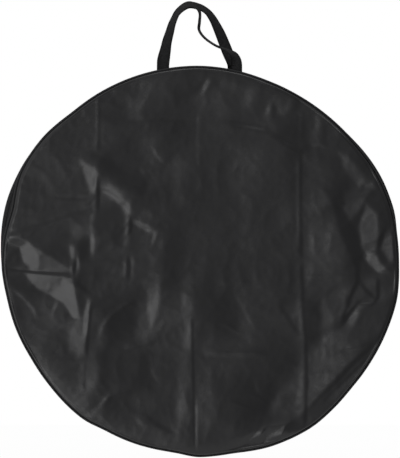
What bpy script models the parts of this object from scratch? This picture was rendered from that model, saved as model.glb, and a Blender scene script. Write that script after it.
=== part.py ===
"""Bike wheel bag: two round cloth panels joined by a side band, hung by two webbing handles.

Metres, +Z up, X to the right, the front panel faces -Y. The origin is where a hook passes
through both handle loops, under the back strap and above the middle of the bag.
"""

import math

import bmesh
import bpy
from mathutils import Matrix, Vector

# Overall sizes of the empty bag
BAG_RADIUS = 0.350
BAG_DROP = 0.338
BAND_WIDTH = 0.0284
CLEARANCE = 0.0003
FOLD_GAP = 0.0003
RIM_STEPS = 48
SMOOTH_DEGREES = 35

# Cloth panels
PANEL_THICKNESS = 0.0010
PANEL_BULGE = 0.0080
FLAT_SHARE = 0.55
EDGE_SHARE = 0.97
RING_SHARES = (0.28, 0.55, 0.66, 0.76, 0.87, 0.97, 1.0)

# Side band: the lower gusset strip and the two zip tapes
BAND_THICKNESS = 0.0008
BAND_INSET = 0.0070

# Folded tape that binds each outer seam
BINDING_WALL = 0.0006
BINDING_DEPTH = 0.0060

# Zip over the upper half, with short tails below the fold
COIL_WIDTH = 0.0022
COIL_HEIGHT = 0.0020
COIL_BEVEL = 0.0005
COIL_GAP = 0.0016
TAPE_TAIL = 0.0300
COIL_TAIL = 0.0260
END_TAB_LENGTH = 0.0240
END_TAB_THICKNESS = 0.0008
TAIL_STEPS = 3

# Zip slider and its pull tab
SLIDER_CLEARANCE = 0.0004
SLIDER_PARK = 0.0150
SLIDER_LENGTH = 0.0110
SLIDER_TAIL_SHARE = 0.78
INNER_PLATE = 0.0008
OUTER_PLATE = 0.0010
FLANGE_WIDTH = 0.0009
NECK_LENGTH = 0.0030
BRIDGE_LENGTH = 0.0060
BRIDGE_WIDTH = 0.0020
BRIDGE_WALL = 0.0009
PULL_LENGTH = 0.0260
PULL_WIDTH = 0.0066
PULL_THICKNESS = 0.0010
PULL_WINDOW = 0.0042
PULL_END_STEPS = 6
CUT_OVERRUN = 0.0010

# Webbing handles
STRAP_WIDTH = 0.0200
STRAP_THICKNESS = 0.0016
HANDLE_SPACING = 0.1270
HANDLE_RISE = 0.1055
STUB_RISE = 0.0080
STRAP_STEPS = 3
STRAP_END_ANGLES = (80, 45)

# Handle routes: x as a share of half the spacing, height as a share of the rise,
# depth as a share of the strap width, and how far the strap turns on itself in degrees
BACK_ROUTE_SHARES = (
    (-1.00, 0.000, 0.00, 0), (-0.99, 0.100, 0.00, 3), (-0.96, 0.280, 0.02, 15),
    (-0.86, 0.550, 0.05, 30), (-0.75, 0.750, 0.08, 46), (-0.60, 0.910, 0.10, 56),
    (-0.32, 1.000, 0.12, 50), (0.00, 0.960, 0.12, 50), (0.18, 0.880, 0.11, 54),
    (0.32, 0.800, 0.09, 48), (0.46, 0.665, 0.08, 38), (0.56, 0.530, 0.06, 26),
    (0.67, 0.380, 0.04, 14), (0.84, 0.210, 0.02, 5), (0.98, 0.080, 0.00, 0),
    (1.00, 0.000, 0.00, 0),
)
FRONT_ROUTE_SHARES = (
    (-1.00, 0.000, 0.00, 0), (-0.99, 0.100, 0.00, 3), (-0.96, 0.280, -0.02, 10),
    (-0.86, 0.550, -0.06, 20), (-0.75, 0.750, -0.10, 35), (-0.60, 0.910, -0.14, 45),
    (-0.32, 1.000, -0.18, 48), (-0.10, 0.950, -0.20, 62), (0.03, 0.850, -0.20, 84),
    (0.03, 0.720, -0.20, 90), (0.01, 0.600, -0.20, 88), (0.07, 0.490, -0.20, 78),
    (0.22, 0.410, -0.18, 73), (0.38, 0.355, -0.16, 70), (0.57, 0.300, -0.12, 62),
    (0.76, 0.235, -0.08, 40), (0.93, 0.130, -0.03, 12), (1.00, 0.000, 0.00, 0),
)

# Levels across the bag, from the middle outwards
FLANGE_IN_Y = BAND_WIDTH / 2
FLANGE_OUT_Y = FLANGE_IN_Y + BAND_THICKNESS
PANEL_IN_Y = FLANGE_OUT_Y + CLEARANCE
PANEL_OUT_Y = PANEL_IN_Y + PANEL_THICKNESS
BINDING_OUT_IN_Y = PANEL_OUT_Y + CLEARANCE
BINDING_OUT_Y = BINDING_OUT_IN_Y + BINDING_WALL
BINDING_IN_OUT_Y = FLANGE_IN_Y - CLEARANCE
BINDING_IN_Y = BINDING_IN_OUT_Y - BINDING_WALL
STRAP_Y = BINDING_IN_Y - CLEARANCE - STRAP_THICKNESS / 2
STRAP_FOLD_Y = STRAP_Y + STRAP_THICKNESS / 2
FOLD_Y = PANEL_OUT_Y + PANEL_BULGE

# Depths below the rim, measured towards the middle of the disc
SEAM_EDGE = BINDING_WALL + CLEARANCE
BAND_INNER = BAND_INSET + BAND_THICKNESS
COIL_BASE = BAND_INSET - CLEARANCE
COIL_TOP = COIL_BASE - COIL_HEIGHT
END_TAB_BASE = BAND_INSET - CLEARANCE
END_TAB_TOP = END_TAB_BASE - END_TAB_THICKNESS

# Heights above the middle of the disc
STUB_INNER_X = (HANDLE_SPACING - STRAP_WIDTH) / 2
HANDLE_AXIS_RISE = math.sqrt(BAG_RADIUS**2 - STUB_INNER_X**2) + STUB_RISE


def hook_rise():
    """Height of the back strap's underside over the middle of the bag, above the disc's middle."""
    share, tilt = next((row[1], row[3]) for row in BACK_ROUTE_SHARES if row[0] == 0)
    half_width = STRAP_WIDTH / 2 * math.cos(math.radians(tilt))
    return HANDLE_AXIS_RISE + share * HANDLE_RISE - half_width - STRAP_THICKNESS


CENTRE = Vector((0, 0, -hook_rise()))
FOLD_ANGLE = math.asin(FOLD_GAP / 2 / BAG_RADIUS)


def material(name, colour, roughness, metallic=0.0):
    """A plain surface with one colour."""
    made = bpy.data.materials.new(name)
    made.use_nodes = True
    shader = made.node_tree.nodes["Principled BSDF"]
    shader.inputs["Base Color"].default_value = (*colour, 1.0)
    shader.inputs["Roughness"].default_value = roughness
    shader.inputs["Metallic"].default_value = metallic
    made.diffuse_color = (*colour, 1.0)
    return made


def add_axis(name, place, parent=None):
    """An empty on a joint's axis, which carries the pieces that turn about it."""
    empty = bpy.data.objects.new(name, None)
    bpy.context.scene.collection.objects.link(empty)
    empty.empty_display_size = STRAP_WIDTH
    empty.parent = parent
    empty.location = place - world_place(parent)
    return empty


def world_place(obj):
    """Where an empty stands, summed up through its parents, none of which is turned."""
    place = Vector((0, 0, 0))
    while obj is not None:
        place = place + obj.location
        obj = obj.parent
    return place


def add_piece(name, bm, surface, axis=None):
    """Turn a bmesh in world places into a named object, carried by an axis or by the bag."""
    bmesh.ops.recalc_face_normals(bm, faces=bm.faces)
    mesh = bpy.data.meshes.new(name)
    bm.to_mesh(mesh)
    bm.free()
    mesh.transform(Matrix.Translation(-world_place(axis)))
    mesh.shade_smooth()
    mesh.set_sharp_from_angle(angle=math.radians(SMOOTH_DEGREES))
    mesh.materials.append(surface)
    obj = bpy.data.objects.new(name, mesh)
    bpy.context.scene.collection.objects.link(obj)
    obj.parent = axis
    return obj


def rim_point(angle, depth, y):
    """A point below the rim: round over the top, slightly flattened below the middle."""
    drop = BAG_RADIUS if math.sin(angle) >= 0 else BAG_DROP
    normal = Vector((math.cos(angle) / BAG_RADIUS, 0, math.sin(angle) / drop)).normalized()
    rim = Vector((BAG_RADIUS * math.cos(angle), 0, drop * math.sin(angle)))
    return CENTRE + rim - depth * normal + Vector((0, y, 0))


def add_rim_strip(bm, section, start, end, steps, closed=False):
    """Sweep a section of (depth, y) corners along the rim from one angle to another."""
    count = steps if closed else steps + 1
    rings = []
    for step in range(count):
        angle = start + (end - start) * step / steps
        rings.append([bm.verts.new(rim_point(angle, depth, y)) for depth, y in section])
    corners = len(section)
    for step in range(steps):
        ring, after = rings[step], rings[(step + 1) % count]
        for i in range(corners):
            j = (i + 1) % corners
            bm.faces.new((ring[i], ring[j], after[j], after[i]))
    if not closed:
        bm.faces.new(rings[0])
        bm.faces.new(rings[-1])


def panel_bulge(share):
    """How far a panel stands out: flat in the middle, then falling to the seam."""
    across = (share - FLAT_SHARE) / (EDGE_SHARE - FLAT_SHARE)
    return PANEL_BULGE * (1 + math.cos(math.pi * min(max(across, 0), 1))) / 2


def panel_rows(side, start, end, steps):
    """Outer points of a panel, ring by ring, and its middle point."""
    centre = CENTRE + Vector((0, side * FOLD_Y, 0))
    rows = []
    for share in RING_SHARES:
        row = []
        for step in range(steps + 1):
            edge = rim_point(start + (end - start) * step / steps, SEAM_EDGE, 0)
            place = CENTRE + share * (edge - CENTRE)
            place.y = side * (PANEL_OUT_Y + panel_bulge(share))
            row.append(place)
        rows.append(row)
    return centre, rows


def panel_solid(side, half=0):
    """A round panel, or its upper (half=1) or lower (half=-1) part cut off at the fold."""
    start, end, steps = {
        0: (0, 2 * math.pi, 2 * RIM_STEPS),
        1: (FOLD_ANGLE, math.pi - FOLD_ANGLE, RIM_STEPS),
        -1: (math.pi + FOLD_ANGLE, 2 * math.pi - FOLD_ANGLE, RIM_STEPS),
    }[half]
    centre, rows = panel_rows(side, start, end, steps)
    if half:
        for place in [centre] + [place for row in rows for place in row]:
            level = half * (place.z - CENTRE.z)
            place.z = CENTRE.z + half * max(level, FOLD_GAP / 2)
    else:
        rows = [row[:-1] for row in rows]
    bm = bmesh.new()
    inward = Vector((0, -side * PANEL_THICKNESS, 0))
    faces = []
    for shift in (Vector((0, 0, 0)), inward):
        middle = bm.verts.new(centre + shift)
        rings = [[bm.verts.new(place + shift) for place in row] for row in rows]
        faces.append((middle, rings))
        count = len(rings[0])
        for step in range(steps):
            j = (step + 1) % count
            bm.faces.new((middle, rings[0][step], rings[0][j]))
            for inner, outer in zip(rings, rings[1:]):
                bm.faces.new((inner[step], outer[step], outer[j], inner[j]))
    (front_middle, front_rings), (rear_middle, rear_rings) = faces
    for step in range(steps):
        j = (step + 1) % len(front_rings[-1])
        rim = (front_rings[-1], rear_rings[-1])
        bm.faces.new((rim[0][step], rim[0][j], rim[1][j], rim[1][step]))
    if half:
        for end_step in (0, -1):
            front_line = [front_middle] + [ring[end_step] for ring in front_rings]
            rear_line = [rear_middle] + [ring[end_step] for ring in rear_rings]
            for i in range(len(front_line) - 1):
                bm.faces.new((front_line[i], front_line[i + 1], rear_line[i + 1], rear_line[i]))
    return bm


def tape_section(side):
    """An L of zip tape: flat across the band, its edge turned up into the bound seam."""
    return (
        (SEAM_EDGE, side * FLANGE_OUT_Y), (SEAM_EDGE, side * FLANGE_IN_Y),
        (BAND_INSET, side * FLANGE_IN_Y), (BAND_INSET, side * COIL_GAP / 2),
        (BAND_INNER, side * COIL_GAP / 2), (BAND_INNER, side * FLANGE_OUT_Y),
    )


def coil_section(side):
    """The coil's outline on the tape's inner edge, with its two top corners taken off."""
    near, far = COIL_GAP / 2, COIL_GAP / 2 + COIL_WIDTH
    return (
        (COIL_BASE, side * near), (COIL_TOP + COIL_BEVEL, side * near),
        (COIL_TOP, side * (near + COIL_BEVEL)), (COIL_TOP, side * (far - COIL_BEVEL)),
        (COIL_TOP + COIL_BEVEL, side * far), (COIL_BASE, side * far),
    )


def gusset_section():
    """A flat U: the band with both edges turned up into the bound seams."""
    return (
        (SEAM_EDGE, -FLANGE_OUT_Y), (SEAM_EDGE, -FLANGE_IN_Y), (BAND_INSET, -FLANGE_IN_Y),
        (BAND_INSET, FLANGE_IN_Y), (SEAM_EDGE, FLANGE_IN_Y), (SEAM_EDGE, FLANGE_OUT_Y),
        (BAND_INNER, FLANGE_OUT_Y), (BAND_INNER, -FLANGE_OUT_Y),
    )


def binding_section(side):
    """Folded tape over the panel's edge and the band's turned-up edge."""
    return (
        (0, side * BINDING_OUT_Y), (0, side * BINDING_IN_Y),
        (BINDING_DEPTH, side * BINDING_IN_Y), (BINDING_DEPTH, side * BINDING_IN_OUT_Y),
        (BINDING_WALL, side * BINDING_IN_OUT_Y), (BINDING_WALL, side * BINDING_OUT_IN_Y),
        (BINDING_DEPTH, side * BINDING_OUT_IN_Y), (BINDING_DEPTH, side * BINDING_OUT_Y),
    )


def end_tab_section():
    """A flat cloth tab between the two bindings."""
    half = BINDING_IN_Y - CLEARANCE
    return ((END_TAB_TOP, -half), (END_TAB_TOP, half), (END_TAB_BASE, half), (END_TAB_BASE, -half))


def tail_angles(right, start, end):
    """Angles for two lengths measured down the band from the fold, right or left side."""
    first, last = -start / BAG_RADIUS, -end / BAG_RADIUS
    return (first, last) if right else (math.pi - first, math.pi - last)


def make_panels(surface, flap_axis):
    """The two cloth faces; the front one is divided where it folds."""
    add_piece("front_panel_flap", panel_solid(-1, half=1), surface, flap_axis)
    add_piece("front_panel_lower", panel_solid(-1, half=-1), surface)
    add_piece("back_panel", panel_solid(1), surface)


def make_gusset(surface):
    """The strip that joins the panels round the lower half."""
    bm = bmesh.new()
    skip = (TAPE_TAIL + CLEARANCE) / BAG_RADIUS
    add_rim_strip(bm, gusset_section(), -skip, skip - math.pi, RIM_STEPS)
    add_piece("gusset_strip", bm, surface)


def make_bindings(surface, flap_axis):
    """Bound seams round both panels; the front one is divided at the fold."""
    upper = bmesh.new()
    add_rim_strip(upper, binding_section(-1), FOLD_ANGLE, math.pi - FOLD_ANGLE, RIM_STEPS)
    add_piece("front_binding_upper", upper, surface, flap_axis)
    lower = bmesh.new()
    add_rim_strip(lower, binding_section(-1), -FOLD_ANGLE, FOLD_ANGLE - math.pi, RIM_STEPS)
    add_piece("front_binding_lower", lower, surface)
    back = bmesh.new()
    add_rim_strip(back, binding_section(1), 0, 2 * math.pi, 2 * RIM_STEPS, closed=True)
    add_piece("back_binding", back, surface)


def make_zip_half(name, section, tail, surface, flap_axis):
    """One tape or coil on each side; the front one is divided at the fold."""
    reach = tail / BAG_RADIUS
    back = bmesh.new()
    add_rim_strip(back, section(1), -reach, math.pi + reach, RIM_STEPS + 2 * TAIL_STEPS)
    add_piece(f"{name}_back", back, surface)
    front = bmesh.new()
    add_rim_strip(front, section(-1), FOLD_ANGLE, math.pi - FOLD_ANGLE, RIM_STEPS)
    add_piece(f"{name}_front", front, surface, flap_axis)
    for hand, right in (("right", True), ("left", False)):
        start, end = tail_angles(right, FOLD_ANGLE * BAG_RADIUS, tail)
        bm = bmesh.new()
        add_rim_strip(bm, section(-1), start, end, TAIL_STEPS)
        add_piece(f"{name}_tail_{hand}", bm, surface)


def make_end_tabs(surface):
    """Cloth tabs sewn over the zip's ends, which also stop the slider."""
    for name, right in (("zip_end_tab_right", True), ("zip_end_tab_left", False)):
        bm = bmesh.new()
        start = COIL_TAIL + CLEARANCE
        first, last = tail_angles(right, start, start + END_TAB_LENGTH)
        add_rim_strip(bm, end_tab_section(), first, last, TAIL_STEPS)
        add_piece(name, bm, surface)


def add_block(bm, low, high):
    """A box between two corners."""
    size = Vector(high) - Vector(low)
    middle = (Vector(high) + Vector(low)) / 2
    made = bmesh.ops.create_cube(bm, size=1)
    matrix = Matrix.Translation(middle) @ Matrix.Diagonal((*size, 1))
    bmesh.ops.transform(bm, matrix=matrix, verts=made["verts"])


def apply_boolean(obj, cutter, operation):
    """Join a second body to an object, or cut it away, and drop the second body."""
    modifier = obj.modifiers.new(operation, "BOOLEAN")
    modifier.operation = operation
    modifier.solver = "EXACT"
    modifier.object = cutter
    depsgraph = bpy.context.evaluated_depsgraph_get()
    mesh = bpy.data.meshes.new_from_object(obj.evaluated_get(depsgraph))
    obj.modifiers.clear()
    old = obj.data
    obj.data = mesh
    mesh.name = obj.name
    bpy.data.meshes.remove(old)
    bpy.data.objects.remove(cutter)


def loose_object(name, bm):
    """A helper body for a join or a cut, removed once it is used."""
    mesh = bpy.data.meshes.new(name)
    bm.to_mesh(mesh)
    bm.free()
    obj = bpy.data.objects.new(name, mesh)
    obj.hide_render = True
    obj.display_type = "WIRE"
    bpy.context.scene.collection.objects.link(obj)
    return obj


def slider_levels():
    """Distances from the disc's middle to the slider's plates and to the pull tab's axis."""
    inner_face = BAG_RADIUS - BAND_INNER - SLIDER_CLEARANCE
    outer_face = BAG_RADIUS - COIL_TOP + SLIDER_CLEARANCE
    top = outer_face + OUTER_PLATE
    pull = top + CLEARANCE + PULL_THICKNESS / 2
    return inner_face, outer_face, top, pull


def plate_prism(bm, low_x, high_x, half_width):
    """A slider plate, narrower where the closed zip leaves it."""
    half = SLIDER_LENGTH / 2
    narrow = half_width * SLIDER_TAIL_SHARE
    corners = ((-half_width, -half), (half_width, -half), (half_width, 0),
               (narrow, half), (-narrow, half), (-half_width, 0))
    low = [bm.verts.new((low_x, y, z)) for y, z in corners]
    high = [bm.verts.new((high_x, y, z)) for y, z in corners]
    bm.faces.new(low[::-1])
    bm.faces.new(high)
    for i in range(len(corners)):
        j = (i + 1) % len(corners)
        bm.faces.new((low[i], low[j], high[j], high[i]))


def make_slider(surface, slider_axis):
    """Two plates joined by a neck that runs between the coils, with side flanges and a bridge."""
    inner_face, outer_face, top, pull = slider_levels()
    flange_in = COIL_GAP / 2 + COIL_WIDTH + SLIDER_CLEARANCE
    half_width = flange_in + FLANGE_WIDTH
    half = SLIDER_LENGTH / 2
    bm = bmesh.new()
    plate_prism(bm, outer_face, top, half_width)
    body = loose_object("zip_slider_body", bm)

    inner = bmesh.new()
    plate_prism(inner, inner_face - INNER_PLATE, inner_face, half_width)
    parts = [inner]
    sink = OUTER_PLATE / 2
    neck = bmesh.new()
    neck_half = COIL_GAP / 2 - CLEARANCE
    add_block(neck, (inner_face - INNER_PLATE / 2, -neck_half, -half + FLANGE_WIDTH),
              (outer_face + sink, neck_half, -half + FLANGE_WIDTH + NECK_LENGTH))
    parts.append(neck)
    flange_foot = BAG_RADIUS - BAND_INSET + SLIDER_CLEARANCE
    for side in (-1, 1):
        flange = bmesh.new()
        near, far = sorted((side * flange_in, side * (half_width - CLEARANCE)))
        add_block(flange, (flange_foot, near, -half + FLANGE_WIDTH), (outer_face + sink, far, 0))
        parts.append(flange)
    bridge_top = pull + PULL_THICKNESS / 2 + CLEARANCE + BRIDGE_WALL
    leg = BRIDGE_WALL + CLEARANCE
    reach, half_bridge = BRIDGE_LENGTH / 2, BRIDGE_WIDTH / 2
    for low_z, high_z, low_x in ((-reach, -reach + leg, top - sink), (reach - leg, reach, top - sink),
                                 (-reach, reach, bridge_top - BRIDGE_WALL)):
        bar = bmesh.new()
        add_block(bar, (low_x, -half_bridge, low_z), (bridge_top, half_bridge, high_z))
        parts.append(bar)
    for i, part in enumerate(parts):
        apply_boolean(body, loose_object(f"slider_join_{i}", part), "UNION")
    finish_turned(body, surface, slider_axis, slider_park_angle())


def slider_park_angle():
    """Where the closed slider stands on the band, below the fold on the right."""
    return -SLIDER_PARK / BAG_RADIUS


def finish_turned(obj, surface, axis, angle):
    """Give a slider part its surface and carry it on its axis, turned along the band."""
    obj.data.shade_smooth()
    obj.data.set_sharp_from_angle(angle=math.radians(SMOOTH_DEGREES))
    obj.data.materials.clear()
    obj.data.materials.append(surface)
    obj.hide_render = False
    obj.display_type = "TEXTURED"
    obj.parent = axis
    obj.rotation_euler = (0, -angle, 0)


def make_pull_tab(surface, pull_axis):
    """A flat tab that hangs from a cross bar under the slider's bridge."""
    radius = PULL_THICKNESS / 2
    half_width = PULL_WIDTH / 2
    profile = []
    for centre_z, turn in ((0, 0), (-PULL_LENGTH + radius, math.pi)):
        for step in range(PULL_END_STEPS + 1):
            angle = turn + math.pi * step / PULL_END_STEPS
            profile.append((radius * math.cos(angle), centre_z + radius * math.sin(angle)))
    bm = bmesh.new()
    left = [bm.verts.new((x, -half_width, z)) for x, z in profile]
    right = [bm.verts.new((x, half_width, z)) for x, z in profile]
    bm.faces.new(left)
    bm.faces.new(right[::-1])
    for i in range(len(profile)):
        j = (i + 1) % len(profile)
        bm.faces.new((left[i], right[i], right[j], left[j]))
    bmesh.ops.recalc_face_normals(bm, faces=bm.faces)
    tab = loose_object("zip_pull_tab", bm)
    window = bmesh.new()
    half_window = BRIDGE_WIDTH / 2 + CLEARANCE
    add_block(window, (-CUT_OVERRUN, -half_window, -radius - PULL_WINDOW),
              (CUT_OVERRUN, half_window, -radius))
    apply_boolean(tab, loose_object("pull_window", window), "DIFFERENCE")
    finish_turned(tab, surface, pull_axis, 0)


def smooth_route(rows, steps):
    """A Catmull-Rom curve through rows of numbers."""
    route = []
    for i in range(len(rows) - 1):
        before, after = rows[max(i - 1, 0)], rows[min(i + 2, len(rows) - 1)]
        for step in range(steps):
            t = step / steps
            route.append(tuple(
                (2 * b + (c - a) * t + (2 * a - 5 * b + 4 * c - d) * t**2
                 + (3 * b - a - 3 * c + d) * t**3) / 2
                for a, b, c, d in zip(before, rows[i], rows[i + 1], after)
            ))
    route.append(tuple(rows[-1]))
    return route


def strap_stations(side, shares):
    """Middle, half width and half thickness of each section along a handle."""
    axis_z = CENTRE.z + HANDLE_AXIS_RISE
    rows = [(x * HANDLE_SPACING / 2, side * STRAP_Y + y * STRAP_WIDTH,
             axis_z + z * HANDLE_RISE, math.radians(tilt)) for x, z, y, tilt in shares]
    route = smooth_route(rows, STRAP_STEPS)
    places = [Vector(row[:3]) for row in route]
    stations = []
    for i, place in enumerate(places):
        along = places[min(i + 1, len(places) - 1)] - places[max(i - 1, 0)]
        if i in (0, len(places) - 1):
            along = Vector((0, 0, 1 if i == 0 else -1))
        along.normalize()
        in_plane = along.cross(Vector((0, 1, 0))).normalized()
        depth_way = in_plane.cross(along).normalized()
        tilt = route[i][3]
        wide = math.cos(tilt) * in_plane + math.sin(tilt) * depth_way
        thick = along.cross(wide).normalized()
        stations.append((place, wide * STRAP_WIDTH / 2, thick * STRAP_THICKNESS / 2))
    round_ends = []
    for place, wide, thick in (stations[0], stations[-1]):
        ends = []
        for degrees in STRAP_END_ANGLES:
            angle = math.radians(degrees)
            down = Vector((0, 0, -STRAP_THICKNESS / 2 * math.sin(angle)))
            ends.append((place + down, wide, thick * math.cos(angle)))
        round_ends.append(ends)
    return round_ends[0] + stations + round_ends[1][::-1]


def make_handle(name, side, shares, surface, axis):
    """A webbing strap swept along its route, its ends rounded where they turn on the axis."""
    bm = bmesh.new()
    rings = []
    for place, wide, thick in strap_stations(side, shares):
        corners = (wide + thick, wide - thick, -wide - thick, -wide + thick)
        rings.append([bm.verts.new(place + corner) for corner in corners])
    for ring, after in zip(rings, rings[1:]):
        for i in range(len(ring)):
            j = (i + 1) % len(ring)
            bm.faces.new((ring[i], ring[j], after[j], after[i]))
    bm.faces.new(rings[0])
    bm.faces.new(rings[-1])
    add_piece(name, bm, surface, axis)


def make_handle_ends(name, side, surface, axis):
    """The sewn ends of a handle: they stand up from the band behind the bound seam."""
    top = CENTRE.z + HANDLE_AXIS_RISE - STRAP_THICKNESS / 2 - CLEARANCE
    band = BAG_RADIUS - BAND_INSET + CLEARANCE
    for hand, way in (("left", -1), ("right", 1)):
        bm = bmesh.new()
        edges = [way * (HANDLE_SPACING / 2 + shift * STRAP_WIDTH / 2) for shift in (-1, 1)]
        outline = [(edges[0], top), (edges[1], top)]
        for x in edges[::-1]:
            outline.append((x, CENTRE.z + math.sqrt(band**2 - x**2)))
        faces = []
        for shift in (-STRAP_THICKNESS / 2, STRAP_THICKNESS / 2):
            faces.append([bm.verts.new((x, side * STRAP_Y + shift, z)) for x, z in outline])
        bm.faces.new(faces[0])
        bm.faces.new(faces[1])
        for i in range(len(outline)):
            j = (i + 1) % len(outline)
            bm.faces.new((faces[0][i], faces[0][j], faces[1][j], faces[1][i]))
        add_piece(f"{name}_{hand}", bm, surface, axis)


def make_handles(surface, flap_axis, front_axis, back_axis):
    """Both handles: the front strap has slipped and hangs twisted across its right leg."""
    make_handle("front_handle", -1, FRONT_ROUTE_SHARES, surface, front_axis)
    make_handle("back_handle", 1, BACK_ROUTE_SHARES, surface, back_axis)
    make_handle_ends("front_handle_end", -1, surface, flap_axis)
    make_handle_ends("back_handle_end", 1, surface, None)


def build():
    """Clear the scene and make every piece of the bag."""
    for obj in list(bpy.data.objects):
        bpy.data.objects.remove(obj)

    panel_cloth = material("panel_cloth", (0.032, 0.032, 0.034), 0.45)
    band_cloth = material("band_cloth", (0.026, 0.026, 0.028), 0.55)
    binding_tape = material("binding_tape", (0.008, 0.008, 0.009), 0.75)
    zip_tape = material("zip_tape", (0.012, 0.012, 0.013), 0.80)
    coil_nylon = material("coil_nylon", (0.015, 0.015, 0.016), 0.35)
    webbing = material("webbing", (0.010, 0.010, 0.011), 0.80)
    slider_metal = material("slider_metal", (0.045, 0.045, 0.050), 0.35, metallic=1.0)

    fold = CENTRE + Vector((0, -FOLD_Y, 0))
    flap_axis = add_axis("flap_axis", fold)
    handle_z = CENTRE.z + HANDLE_AXIS_RISE
    front_axis = add_axis("front_handle_axis", Vector((0, -STRAP_FOLD_Y, handle_z)), flap_axis)
    back_axis = add_axis("back_handle_axis", Vector((0, STRAP_FOLD_Y, handle_z)))
    slider_axis = add_axis("zip_slider_axis", CENTRE.copy())
    angle = slider_park_angle()
    pull = slider_levels()[3]
    pull_place = CENTRE + pull * Vector((math.cos(angle), 0, math.sin(angle)))
    pull_axis = add_axis("pull_tab_axis", pull_place, slider_axis)

    make_panels(panel_cloth, flap_axis)
    make_gusset(band_cloth)
    make_bindings(binding_tape, flap_axis)
    make_zip_half("zip_tape", tape_section, TAPE_TAIL, zip_tape, flap_axis)
    make_zip_half("zip_coil", coil_section, COIL_TAIL, coil_nylon, flap_axis)
    make_end_tabs(band_cloth)
    make_slider(slider_metal, slider_axis)
    make_pull_tab(slider_metal, pull_axis)
    make_handles(webbing, flap_axis, front_axis, back_axis)


build()
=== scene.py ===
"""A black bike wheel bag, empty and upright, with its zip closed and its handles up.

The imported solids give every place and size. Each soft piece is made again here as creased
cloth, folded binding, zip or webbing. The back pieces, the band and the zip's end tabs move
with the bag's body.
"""

import math

import bmesh
import bpy
import numpy as np
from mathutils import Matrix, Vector


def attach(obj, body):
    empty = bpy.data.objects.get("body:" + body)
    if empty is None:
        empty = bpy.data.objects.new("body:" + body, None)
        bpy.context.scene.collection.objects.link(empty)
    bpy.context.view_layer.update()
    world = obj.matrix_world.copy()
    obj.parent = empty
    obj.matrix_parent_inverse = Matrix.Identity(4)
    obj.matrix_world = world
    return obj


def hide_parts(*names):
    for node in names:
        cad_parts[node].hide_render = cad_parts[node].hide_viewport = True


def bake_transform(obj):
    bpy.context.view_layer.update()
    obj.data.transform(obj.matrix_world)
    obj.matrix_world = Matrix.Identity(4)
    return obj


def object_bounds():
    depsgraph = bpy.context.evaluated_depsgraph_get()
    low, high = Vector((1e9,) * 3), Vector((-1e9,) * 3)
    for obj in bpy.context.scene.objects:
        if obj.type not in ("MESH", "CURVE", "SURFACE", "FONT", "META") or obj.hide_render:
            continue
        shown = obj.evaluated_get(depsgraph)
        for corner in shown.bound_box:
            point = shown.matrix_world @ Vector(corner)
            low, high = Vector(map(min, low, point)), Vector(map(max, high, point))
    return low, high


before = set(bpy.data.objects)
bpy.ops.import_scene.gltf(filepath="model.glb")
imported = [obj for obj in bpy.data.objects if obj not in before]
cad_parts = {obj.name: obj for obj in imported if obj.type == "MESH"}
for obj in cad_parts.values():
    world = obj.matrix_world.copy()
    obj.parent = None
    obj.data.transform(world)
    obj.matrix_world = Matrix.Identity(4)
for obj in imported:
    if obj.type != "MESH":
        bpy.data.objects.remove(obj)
CAD_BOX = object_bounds()

# The two sides of the bag's middle plane
FRONT = -1
BACK = 1

# Sizes of the solids, in metres and shares, with the hanging point at the origin
BAG_RADIUS = 0.350
BAG_DROP = 0.338
BAND_WIDTH = 0.0284
BAND_THICKNESS = 0.0008
BAND_INSET = 0.0070
PANEL_THICKNESS = 0.0010
FLAT_SHARE = 0.55
EDGE_SHARE = 0.97
BINDING_WALL = 0.0006
BINDING_DEPTH = 0.0060
COIL_WIDTH = 0.0022
COIL_HEIGHT = 0.0020
COIL_GAP = 0.0016
TAPE_TAIL = 0.0300
COIL_TAIL = 0.0260
STRAP_WIDTH = 0.0200
STRAP_THICKNESS = 0.0016
HANDLE_SPACING = 0.1270
HANDLE_RISE = 0.1055
HANDLE_Z = -0.093252
CLEARANCE = 0.0003
CENTRE = np.array((0.0, 0.0, -0.447139))

# What follows from them: distances of the layers from the bag's middle plane, half of the gap
# and the reach of the coils beside it, and depths inside the rim
FLANGE_Y = BAND_WIDTH / 2
PANEL_Y = FLANGE_Y + BAND_THICKNESS + CLEARANCE + PANEL_THICKNESS
BINDING_OUTER_Y = PANEL_Y + CLEARANCE + BINDING_WALL
BINDING_INNER_Y = FLANGE_Y - CLEARANCE - BINDING_WALL
STRAP_Y = BINDING_INNER_Y - CLEARANCE - STRAP_THICKNESS / 2
COIL_NEAR = COIL_GAP / 2
COIL_FAR = COIL_NEAR + COIL_WIDTH
SEAM_EDGE = BINDING_WALL + CLEARANCE
COIL_BASE = BAND_INSET - CLEARANCE
COIL_TOP = COIL_BASE - COIL_HEIGHT

# Panel cloth: its thickness, how far its middle stands out, how high it rolls up beside the
# binding and where that starts, then the groove that the stitching pulls in: its depth inside
# the rim, width, depth, and the shares of it that are even and that go from top to bottom
PANEL_CLOTH = 0.0005
PANEL_BULGE = 0.0030
ROLL_HEIGHT = 0.0045
ROLL_START = 0.00252
GROOVE_IN = 0.0074
GROOVE_WIDTH = 0.0009
GROOVE_DEPTH = 0.0005
GROOVE_EVEN = 0.65
GROOVE_UPPER = 0.35

# Shares of the way out where a panel's folds fade, where its puckers start and where they
# end, how much its points crowd towards the rim, where its rim level is read, and over how
# many degrees that is evened out
FOLD_FADE = (0.990, 0.973)
PUCKER_START = (0.86, 0.94)
PUCKER_END = (0.985, 0.970)
RIM_CROWDING = 0.7
LEVEL_SHARE = 0.965
LEVEL_DEGREES = 14.0

# Puckers: height, and the lengths of their waves
PUCKER_HEIGHT = 0.00009
PUCKER_WAVES = (0.024, 0.037, 0.017, 0.055)

# Points along a side of the front and of the back panel, and steps round the rim
FRONT_GRID = 301
BACK_GRID = 181
BINDING_STEPS = 720
BAND_STEPS = 420
TAB_STEPS = 12

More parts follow.
